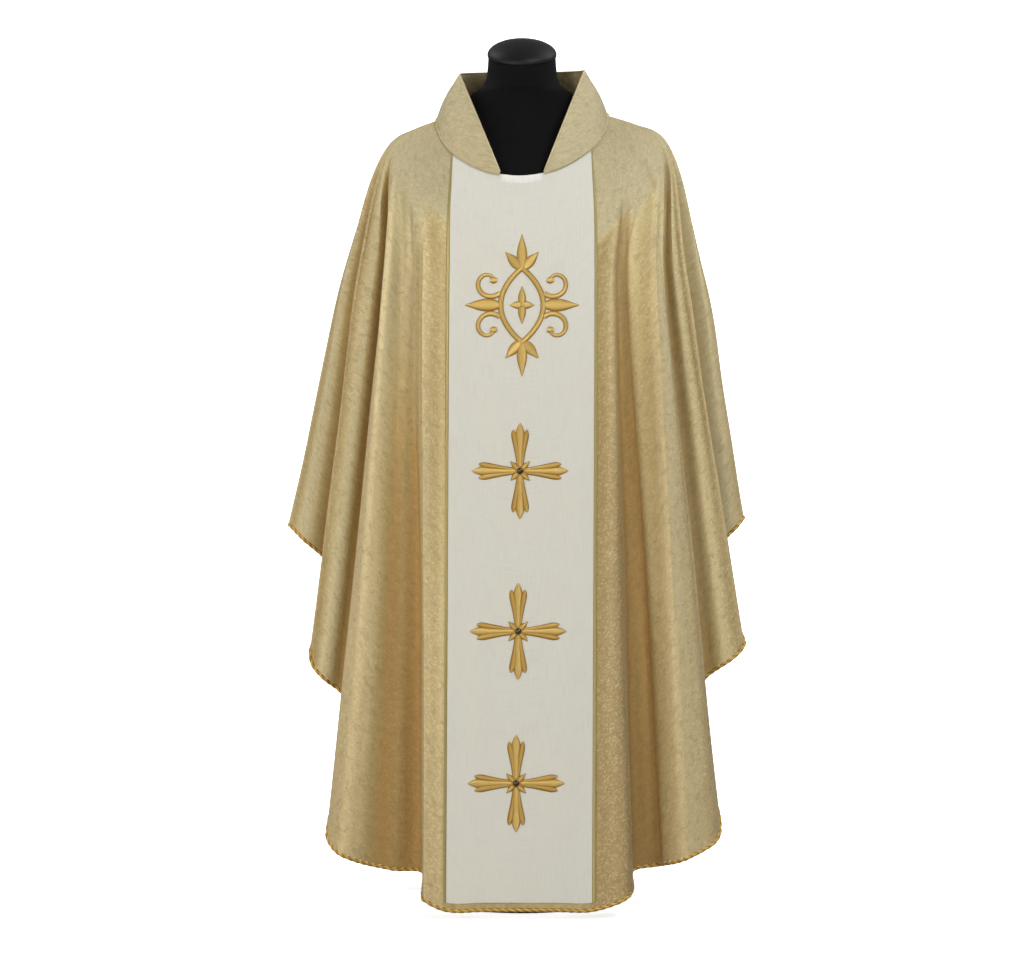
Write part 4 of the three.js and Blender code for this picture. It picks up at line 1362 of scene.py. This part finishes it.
def weave_group() -> NodeTree:
    """Plain weave: warp and weft are half sine ridges that take turns on top in a chequer's squares."""
    tree, given, result = group(
        "plain_weave",
        {"Vector": ("Vector", None), "Threads per metre": ("Float", 1200.0)},
        {"Height": "Float"},
    )
    inputs = {0: given.outputs["Vector"], "Scale": given.outputs["Threads per metre"]}
    scaled = node(tree, "VectorMath", inputs, operation="SCALE").outputs[0]
    x, y = node(tree, "SeparateXYZ", {0: scaled}).outputs[:2]
    chequer = {"Vector": scaled, "Color1": (1, 1, 1, 1), "Color2": (0, 0, 0, 1), "Scale": 1.0}
    top = node(tree, "TexChecker", chequer).outputs["Fac"]
    warp = maths(tree, "MULTIPLY", ridges(tree, x), maths(tree, "MULTIPLY_ADD", top, 0.6, 0.4))
    weft = maths(tree, "MULTIPLY", ridges(tree, y), maths(tree, "MULTIPLY_ADD", top, -0.6, 1.0))
    fill(tree, result, {"Height": maths(tree, "MAXIMUM", warp, weft)})
    return tree


# The finishes paint these glints into the colour as painted highlights, and use them for roughness and bump.
def glints_group() -> NodeTree:
    """Fine glints of single threads: a random value for each small cell, kept above a threshold."""
    tree, given, result = group(
        "thread_glints",
        {"Vector": ("Vector", None), "Cells per metre": ("Float", 500.0), "Share": ("Float", 0.3)},
        {"Glint": "Float", "Mottle": "Float"},
    )
    place = given.outputs["Vector"]
    cells = node(tree, "TexVoronoi", {"Vector": place, "Scale": given.outputs["Cells per metre"]})
    value = node(tree, "SeparateColor", {0: cells.outputs["Color"]}).outputs[0]
    glint = ramp(tree, value, maths(tree, "SUBTRACT", 1.0, given.outputs["Share"]))
    fill(tree, result, {"Glint": glint, "Mottle": cloud(tree, place, 90.0, 4.0, 0.65)})
    return tree


def depth_group() -> NodeTree:
    """Painted shade between the folds and a painted highlight on the crests, over a cloth's plain colour."""
    tints = {"Plain": 0.5, "Deep": 0.2, "Crest": 0.8}
    tree, given, result = group(
        "fold_depth_tint", {k: ("Color", (v, v, v, 1)) for k, v in tints.items()}, {"Color": "Color"}
    )
    shade = attribute(tree, "shade")
    lower = blended(tree, ramp(tree, shade), given.outputs["Plain"], given.outputs["Deep"])
    crest = blended(tree, ramp(tree, shade, -0.05, -0.8), lower, given.outputs["Crest"])
    fill(tree, result, {"Color": crest})
    return tree


@dataclass
class Effects:
    """The node groups that several finishes share, and their use in a finish."""

    weave: NodeTree = field(default_factory=weave_group)
    glints: NodeTree = field(default_factory=glints_group)
    # The folds' painted shade and highlight.
    depth: NodeTree = field(default_factory=depth_group)

    def weave_in(self, tree: NodeTree, place: Socket, per_metre: float) -> Socket:
        """The height of a plain weave."""
        inputs = {"Vector": place, "Threads per metre": per_metre}
        return node(tree, "Group", inputs, node_tree=self.weave).outputs["Height"]

    def glints_in(
        self, tree: NodeTree, place: Socket, per_metre: float, share: float
    ) -> tuple[Socket, Socket]:
        """The glints of single threads, and a slow mottle."""
        inputs = {"Vector": place, "Cells per metre": per_metre, "Share": share}
        made = node(tree, "Group", inputs, node_tree=self.glints)
        return made.outputs["Glint"], made.outputs["Mottle"]

    def tint_in(self, tree: NodeTree, plain: Colour, deep: Colour, crest: Colour) -> Socket:
        """A cloth's colour with painted shade in the folds' hollows and a painted highlight on the crests."""
        inputs = {"Plain": plain, "Deep": deep, "Crest": crest}
        return node(tree, "Group", inputs, node_tree=self.depth).outputs[0]


def begin(name: str) -> tuple[Material, NodeTree, Node]:
    """A new material with a Principled BSDF joined to its output."""
    material = bpy.data.materials.new(name)
    material.use_nodes = True
    tree = material.node_tree
    tree.nodes.clear()
    shader = node(tree, "BsdfPrincipled")
    node(tree, "OutputMaterial", {"Surface": shader.outputs[0]})
    return material, tree, shader


# ---------------------------------------------------------------- finishes


@dataclass(frozen=True)
class Brocade:
    """Gold brocade with a metal thread, a leafy figure a little darker than the cloth, and a sheen."""

    plain: Colour = (0.565, 0.44, 0.196, 1)
    # Painted shade in the hollows, a painted highlight on the crests, a painted paler colour where the painted
    # light is high, and painted glints.
    deep: Colour = (0.50, 0.315, 0.102, 1)
    crest: Colour = (0.75, 0.61, 0.33, 1)
    pale: Colour = (0.54, 0.463, 0.28, 1)
    glint: Colour = (0.85, 0.74, 0.45, 1)
    spot: Colour = (0.34, 0.24, 0.10, 1)
    sheen_tint: Colour = (1.0, 0.93, 0.76, 1)
    green_power: float = 1.3
    blue_power: float = 1.75
    glints_per_metre: float = 430.0
    glint_share: float = 0.42
    figure_size: float = 78.0
    figure_strength: float = 0.26
    threads_per_metre: float = 900.0
    metallic: float = 0.28
    dull: float = 0.56
    bright: float = 0.34
    sheen: float = 0.12
    sheen_roughness: float = 0.4

    def colour(
        self, tree: NodeTree, effects: Effects, glint: Socket, mottle: Socket, figure: Socket
    ) -> Socket:
        """The thread's colour: the folds' painted shade and highlight times powers of the painted
        light, so that a low painted light turns browner, then a painted paler colour where the painted
        light is high, then its painted glints, stronger toward the crests, its figure and a mottle.

        Args:
            tree: the material's nodes.
            effects: the shared node groups.
            glint: where single threads get a painted glint.
            mottle: the slow mottle.
            figure: where the figure is.

        Returns:
            The colour's socket.
        """
        # Painted light: under 1 it darkens and browns the colour, and from 1.02 it fades toward the painted
        # paler colour.
        tone = attribute(tree, "tone")
        green, blue = (maths(tree, "POWER", tone, power) for power in (self.green_power, self.blue_power))
        powers = node(tree, "CombineXYZ", {0: tone, 1: green, 2: blue}).outputs[0]
        tint = effects.tint_in(tree, self.plain, self.deep, self.crest)
        dimmed = blended(tree, 1.0, tint, powers, "MULTIPLY")
        paled = blended(tree, ramp(tree, tone, 1.02, 1.17, 0.0, 0.85), dimmed, self.pale)
        # Painted glints of the metal thread, stronger toward the crests.
        worn = ramp(tree, attribute(tree, "shade"), 0.3, -0.6, 0.10, 0.42)
        glinting = blended(tree, maths(tree, "MULTIPLY", glint, worn), paled, self.glint)
        figured = blended(tree, maths(tree, "MULTIPLY", figure, self.figure_strength), glinting, self.spot)
        return blended(tree, 1.0, figured, ramp(tree, mottle, 0.3, 0.7, 0.91, 1.08), "MULTIPLY")

    def build(self, effects: Effects) -> Material:
        """Makes the material on the cloth's own UV map, whose unit is a metre."""
        material, tree, shader = begin("gold_brocade")
        uv = cloth_map(tree)
        glint, mottle = effects.glints_in(tree, uv, self.glints_per_metre, self.glint_share)
        figure = ramp(tree, cloud(tree, uv, self.figure_size, 2.0, 0.45, 1.2), 0.56, 0.66)
        normal = bump(tree, cloud(tree, uv, 14.0, 2.0, 0.4), 0.006, 0.35)
        normal = bump(tree, figure, 0.0006, 0.5, normal)
        normal = bump(tree, glint, 0.0005, 0.45, normal)
        normal = bump(tree, effects.weave_in(tree, uv, self.threads_per_metre), 0.0004, 0.5, normal)
        fill(tree, shader, {
            "Base Color": self.colour(tree, effects, glint, mottle, figure),
            "Roughness": ramp(tree, glint, 0.0, 1.0, self.dull, self.bright),
            "Metallic": self.metallic,
            "Sheen Weight": self.sheen,
            "Sheen Roughness": self.sheen_roughness,
            "Sheen Tint": self.sheen_tint,
            "Normal": normal,
        })
        return material


@dataclass(frozen=True)
class Ivory:
    """Ivory cloth with uneven slub threads both ways."""

    plain: Colour = (0.725, 0.712, 0.64, 1)
    # Colour of the painted highlight on the band's folded head.
    pale: Colour = (0.90, 0.89, 0.85, 1)
    thread: Colour = (0.62, 0.585, 0.50, 1)
    warm: Colour = (0.76, 0.70, 0.58, 1)
    slub_long: float = 26.0
    slub_thin: float = 700.0
    threads_per_metre: float = 1300.0
    roughness: float = 0.72
    sheen: float = 0.2
    sheen_roughness: float = 0.5

    def build(self, effects: Effects) -> Material:
        """Makes the material on the band's own UV map."""
        material, tree, shader = begin("ivory_cloth")
        uv = cloth_map(tree)
        slubs = []
        for stretch in ((self.slub_thin, self.slub_long, 1.0), (self.slub_long, self.slub_thin, 1.0)):
            mapped = node(tree, "Mapping", {"Vector": uv, "Scale": stretch}).outputs[0]
            slubs.append(cloud(tree, mapped, 1.0, 3.0))
        both = maths(tree, "MULTIPLY", maths(tree, "ADD", *slubs), 0.5)
        streak = maths(tree, "MULTIPLY", ramp(tree, both, 0.48, 0.66), 0.55)
        warm = maths(tree, "MULTIPLY", ramp(tree, cloud(tree, uv, 7.0, 2.0), 0.35, 0.7), 0.25)
        # Painted highlight where the band's head is folded over.
        colour = blended(tree, attribute(tree, "shade"), self.plain, self.pale)
        colour = blended(tree, warm, blended(tree, streak, colour, self.thread), self.warm)
        weave = effects.weave_in(tree, uv, self.threads_per_metre)
        fill(tree, shader, {
            "Base Color": colour,
            "Roughness": self.roughness,
            "Sheen Weight": self.sheen,
            "Sheen Roughness": self.sheen_roughness,
            "Normal": bump(tree, weave, 0.0003, 0.5, bump(tree, both, 0.0006, 0.6)),
        })
        return material


@dataclass(frozen=True)
class GoldThread:
    """Gold thread laid in fine parallel stitches across the piece."""

    name: str
    plain: Colour
    # Colours of the painted shade and of the painted highlight.
    deep: Colour
    crest: Colour
    stitches: float
    # Colour of the painted glints.
    glint: Colour = (0.86, 0.62, 0.22, 1)
    glints_per_metre: float = 700.0
    glint_share: float = 0.4
    glint_strength: float = 0.15
    slant: float = 1.2
    metallic: float = 0.35
    roughness: float = 0.4

    def build(self, effects: Effects) -> Material:
        """Makes the material on the piece's own UV map: U goes round and V is the length in metres."""
        material, tree, shader = begin(self.name)
        uv = cloth_map(tree)
        shade = attribute(tree, "shade")
        # Painted highlight where the shade value is high, painted shade where it is low.
        colour = blended(tree, ramp(tree, shade, -0.1, 1.1), self.plain, self.crest)
        colour = blended(tree, ramp(tree, shade, 0.0, -1.2), colour, self.deep)
        round_it, along = node(tree, "SeparateXYZ", {0: uv}).outputs[:2]
        length = maths(tree, "MULTIPLY", along, self.stitches)
        thread = ridges(tree, maths(tree, "MULTIPLY_ADD", round_it, self.slant, length))
        glint = effects.glints_in(tree, uv, self.glints_per_metre, self.glint_share)[0]
        # Painted glints, then painted shade in the grooves between the stitches.
        colour = blended(tree, maths(tree, "MULTIPLY", glint, self.glint_strength), colour, self.glint)
        colour = blended(tree, maths(tree, "MULTIPLY_ADD", thread, -0.35, 0.35), colour, self.deep)
        fill(tree, shader, {
            "Base Color": colour,
            "Metallic": self.metallic,
            "Roughness": self.roughness,
            "Normal": bump(tree, thread, 0.0005, 0.6),
        })
        return material


@dataclass(frozen=True)
class Jersey:
    """Matt black jersey with a fine knit."""

    plain: Colour = (0.0030, 0.0025, 0.0030, 1)
    worn: Colour = (0.0058, 0.0050, 0.0058, 1)
    stitches_per_metre: float = 800.0
    roughness: float = 0.85
    specular: float = 0.12
    sheen: float = 0.02

    def build(self, effects: Effects) -> Material:
        """Makes the material on Object coordinates, whose unit is a metre."""
        material, tree, shader = begin("black_jersey")
        place = node(tree, "TexCoord").outputs["Object"]
        fill(tree, shader, {
            "Base Color": blended(tree, cloud(tree, place, 60.0, 5.0), self.plain, self.worn),
            "Roughness": self.roughness,
            "Specular IOR Level": self.specular,
            "Sheen Weight": self.sheen,
            "Normal": bump(tree, effects.weave_in(tree, place, self.stitches_per_metre), 0.0004, 0.5),
        })
        return material


@dataclass(frozen=True)
class Lacquer:
    """A smooth coat with a faint mottle, for the neck's cap, the stones and the stand."""

    name: str
    plain: Colour
    roughness: float
    metallic: float = 0.0
    coat: float = 0.0
    specular: float = 0.5

    def build(self) -> Material:
        """Makes the material on Object coordinates."""
        material, tree, shader = begin(self.name)
        mottle = cloud(tree, node(tree, "TexCoord").outputs["Object"], 180.0, 4.0)
        darker = tuple(0.7 * channel for channel in self.plain[:3]) + (1,)
        fill(tree, shader, {
            "Base Color": blended(tree, mottle, self.plain, darker),
            "Roughness": ramp(tree, mottle, 0.0, 1.0, self.roughness * 0.85, self.roughness * 1.2),
            "Metallic": self.metallic,
            "Coat Weight": self.coat,
            "Specular IOR Level": self.specular,
            "Normal": bump(tree, mottle, 0.0002, 0.3),
        })
        return material


# ---------------------------------------------------------------- studio


@dataclass(frozen=True)
class Lamp:
    """A square area light that looks at a point, which is the garment's middle unless another is given."""

    name: str
    place: tuple
    power: float
    size: float
    colour: tuple = (1, 1, 1)
    at: tuple = (0, 0, 0.75)

    def build(self) -> None:
        """Hangs the light."""
        data = bpy.data.lights.new(self.name, "AREA")
        data.energy, data.size, data.color = self.power, self.size, self.colour
        lamp = bpy.data.objects.new(self.name, data)
        lamp.location = self.place
        lamp.rotation_euler = (Vector(self.at) - Vector(self.place)).to_track_quat("-Z", "Y").to_euler()
        bpy.context.scene.collection.objects.link(lamp)


LAMPS = (
    Lamp("high_right", (1.9, -2.5, 3.1), 71.5, 1.0, (0.93, 0.97, 1.0)),
    Lamp("left", (-1.9, -4.0, 1.2), 55, 1.2, (1.0, 0.95, 0.85)),
    Lamp("wide_left", (-3.4, -2.2, 1.4), 28.6, 1.2, (1.0, 0.96, 0.88)),
    Lamp("front", (0.3, -5.0, 1.3), 19.8, 2.4, (1.0, 0.97, 0.92)),
    Lamp("backdrop_left", (-2.2, 1.0, 3.2), 187, 2.4, at=(-1, 5.5, 1.2)),
    Lamp("backdrop_right", (2.2, 1.0, 3.2), 187, 2.4, at=(1, 5.5, 1.2)),
)


@dataclass
class Studio:
    """The pale floor, the soft lights and the camera at the photograph's angle. Its sizes are in metres."""

    distance: float = 4.5
    height: float = 0.72
    lens: float = 98.9
    sensor: float = 36.0
    image_width: int = 1024
    centre_right: float = 10.0
    centre_up: float = 31.1
    floor_half_width: float = 12.0
    floor_front: float = -9.0
    floor_back: float = 4.0
    curve_radius: float = 2.5
    backdrop_top: float = 9.0
    floor_glow: float = 0.7
    floor_seen: Colour = (0.93, 0.93, 0.93, 1)
    floor_lit: Colour = (0.4, 0.4, 0.4, 1)
    sky: Colour = (0.96, 0.97, 1.0, 1)
    sky_seen: float = 1.05
    surround: float = 0.17

    def camera(self) -> None:
        """A level camera straight in front, shifted so that the axis lies where the photograph has it."""
        data = bpy.data.cameras.new("camera")
        data.sensor_fit = "HORIZONTAL"
        data.sensor_width = self.sensor
        data.lens = self.lens
        data.shift_x = -self.centre_right / self.image_width
        data.shift_y = -self.centre_up / self.image_width
        camera = bpy.data.objects.new("camera", data)
        camera.location = (0, -self.distance, self.height)
        camera.rotation_euler = (np.pi / 2, 0, 0)
        bpy.context.scene.collection.objects.link(camera)
        bpy.context.scene.camera = camera

    def floor(self) -> None:
        """A pale floor that rises behind the garment in a wide curve, as one grid along a profile. It looks
        paler to the camera than the light that it throws back."""
        turn = np.linspace(0, np.pi / 2, 24)
        radius, back, wide = self.curve_radius, self.floor_back, self.floor_half_width
        y = np.concatenate([[self.floor_front], back + radius * np.sin(turn), [back + radius]])
        z = np.concatenate([[0.0], radius - radius * np.cos(turn), [self.backdrop_top]])
        points = np.stack([np.stack([np.full(len(y), x), y, z], axis=-1) for x in (-wide, wide)], axis=1)
        faces = squares(np.arange(2 * len(y)).reshape(-1, 2))
        mesh = bpy.data.meshes.new("floor")
        mesh.from_pydata(points.reshape(-1, 3).tolist(), [], faces.tolist())
        mesh.polygons.foreach_set("use_smooth", np.ones(len(faces), bool))
        material, tree, shader = begin("pale_floor")
        seen = node(tree, "LightPath").outputs["Is Camera Ray"]
        fill(tree, shader, {
            "Base Color": blended(tree, seen, self.floor_lit, self.floor_seen),
            "Roughness": 0.9,
            "Emission Color": (1, 1, 1, 1),
            "Emission Strength": maths(tree, "MULTIPLY", seen, self.floor_glow),
        })
        mesh.materials.append(material)
        floor = bpy.data.objects.new("floor", mesh)
        bpy.context.scene.collection.objects.link(floor)

    def world(self) -> None:
        """An even pale surround, white where it is seen straight on and dimmer as a light."""
        world = bpy.data.worlds.new("surround")
        world.use_nodes = True
        tree = world.node_tree
        seen = node(tree, "LightPath").outputs["Is Camera Ray"]
        strength = maths(tree, "MULTIPLY_ADD", seen, self.sky_seen - self.surround, self.surround)
        fill(tree, tree.nodes["Background"], {"Color": self.sky, "Strength": strength})
        bpy.context.scene.world = world

    def build(self) -> None:
        """Sets up all of the studio."""
        self.camera()
        self.world()
        self.floor()
        for lamp in LAMPS:
            lamp.build()
        bpy.context.scene.view_settings.view_transform = "Standard"


# ---------------------------------------------------------------- the whole object

BRAID_THREAD = GoldThread(
    "braid_thread", (0.42, 0.33, 0.11, 1), (0.24, 0.17, 0.05, 1), (0.62, 0.52, 0.24, 1), 330.0
)
CORD_THREAD = GoldThread(
    "hem_cord_thread", (0.51, 0.28, 0.038, 1), (0.20, 0.085, 0.012, 1), (0.74, 0.50, 0.12, 1), 420.0
)
SATIN_THREAD = GoldThread(
    "satin_thread", (0.47, 0.255, 0.03, 1), (0.20, 0.08, 0.006, 1), (0.77, 0.53, 0.16, 1), 900.0
)
PIPING_THREAD = GoldThread(
    "piping_thread", (0.60, 0.49, 0.28, 1), (0.42, 0.32, 0.15, 1), (0.74, 0.64, 0.42, 1), 300.0
)
CAP_COAT = Lacquer("satin_black_cap", (0.007, 0.0058, 0.0062, 1), 0.5, specular=0.27)
STEEL = Lacquer("dark_steel", (0.05, 0.05, 0.052, 1), 0.4, metallic=0.8)
STONE = Lacquer("dark_stone", (0.045, 0.014, 0.004, 1), 0.18, coat=0.6)

CROSSES = {"upper": Cross(-3, 686), "middle": Cross(-6, 440), "lower": Cross(-9, 208)}


def embroider(band: Orphrey, effects: Effects) -> list[Piece]:
    """Sews the ornament, the crosses and their stones on the orphrey.

    Args:
        band: the orphrey.
        effects: the shared node groups.

    Returns:
        The sewn pieces.
    """
    work, ornament = Embroidery(band), Ornament()
    satin, stone = SATIN_THREAD.build(effects), STONE.build()
    sewn = [
        work.build(ornament.strips(), "ornament_stitching", "ornament", satin),
        work.build(ornament.flower(), "flower_stitching", "ornament_flower", satin),
    ]
    for place, cross in CROSSES.items():
        sewn.append(work.build(cross.strips(), f"cross_{place}_stitching", f"cross_{place}", satin))
        sewn.append(cross.stone(work, f"stone_{place}", f"cross_stone_{place}", stone))
    return sewn


def dress(drape: Drape, effects: Effects) -> None:
    """Builds the garment: its two panels, collar, orphrey, braids, cords and embroidery.

    Args:
        drape: the cloth's surface.
        effects: the shared node groups.
    """
    brocade, cord = Brocade().build(effects), CORD_THREAD.build(effects)
    left, right = WING_TIP[Side.LEFT], WING_TIP[Side.RIGHT]
    front = Panel(drape, "front_cloth", right - FOLD_COUNT, left).build(brocade, "front_panel")
    back = Panel(drape, "back_cloth", left, right).build(brocade, "back_panel")
    collar, piping = Collar(drape).build(brocade, PIPING_THREAD.build(effects))
    front_hem, back_hem = HemCord(drape, right - FOLD_COUNT, left), HemCord(drape, left, right)
    front_cord = front_hem.build("hem_cord_front_thread", "hem_cord_front", cord)
    back_cord = back_hem.build("hem_cord_back_thread", "hem_cord_back", cord)

    band = Orphrey(drape)
    orphrey = band.build(Ivory().build(effects))
    braid_gold = BRAID_THREAD.build(effects)
    sewn = [band.braid(side, braid_gold) for side in Side] + embroider(band, effects)


def main() -> None:
    logging.basicConfig(level=logging.INFO, format="%(name)s %(message)s")
    Studio().build()
    effects = Effects()
    form = DressForm()
    form.body(Jersey().build(effects))
    form.cap(CAP_COAT.build())
    stand, steel = Stand(), STEEL.build()
    stand.foot(steel)
    stand.pole(steel)
    dress(Drape(), effects)


if __name__ == "__main__":
    main()
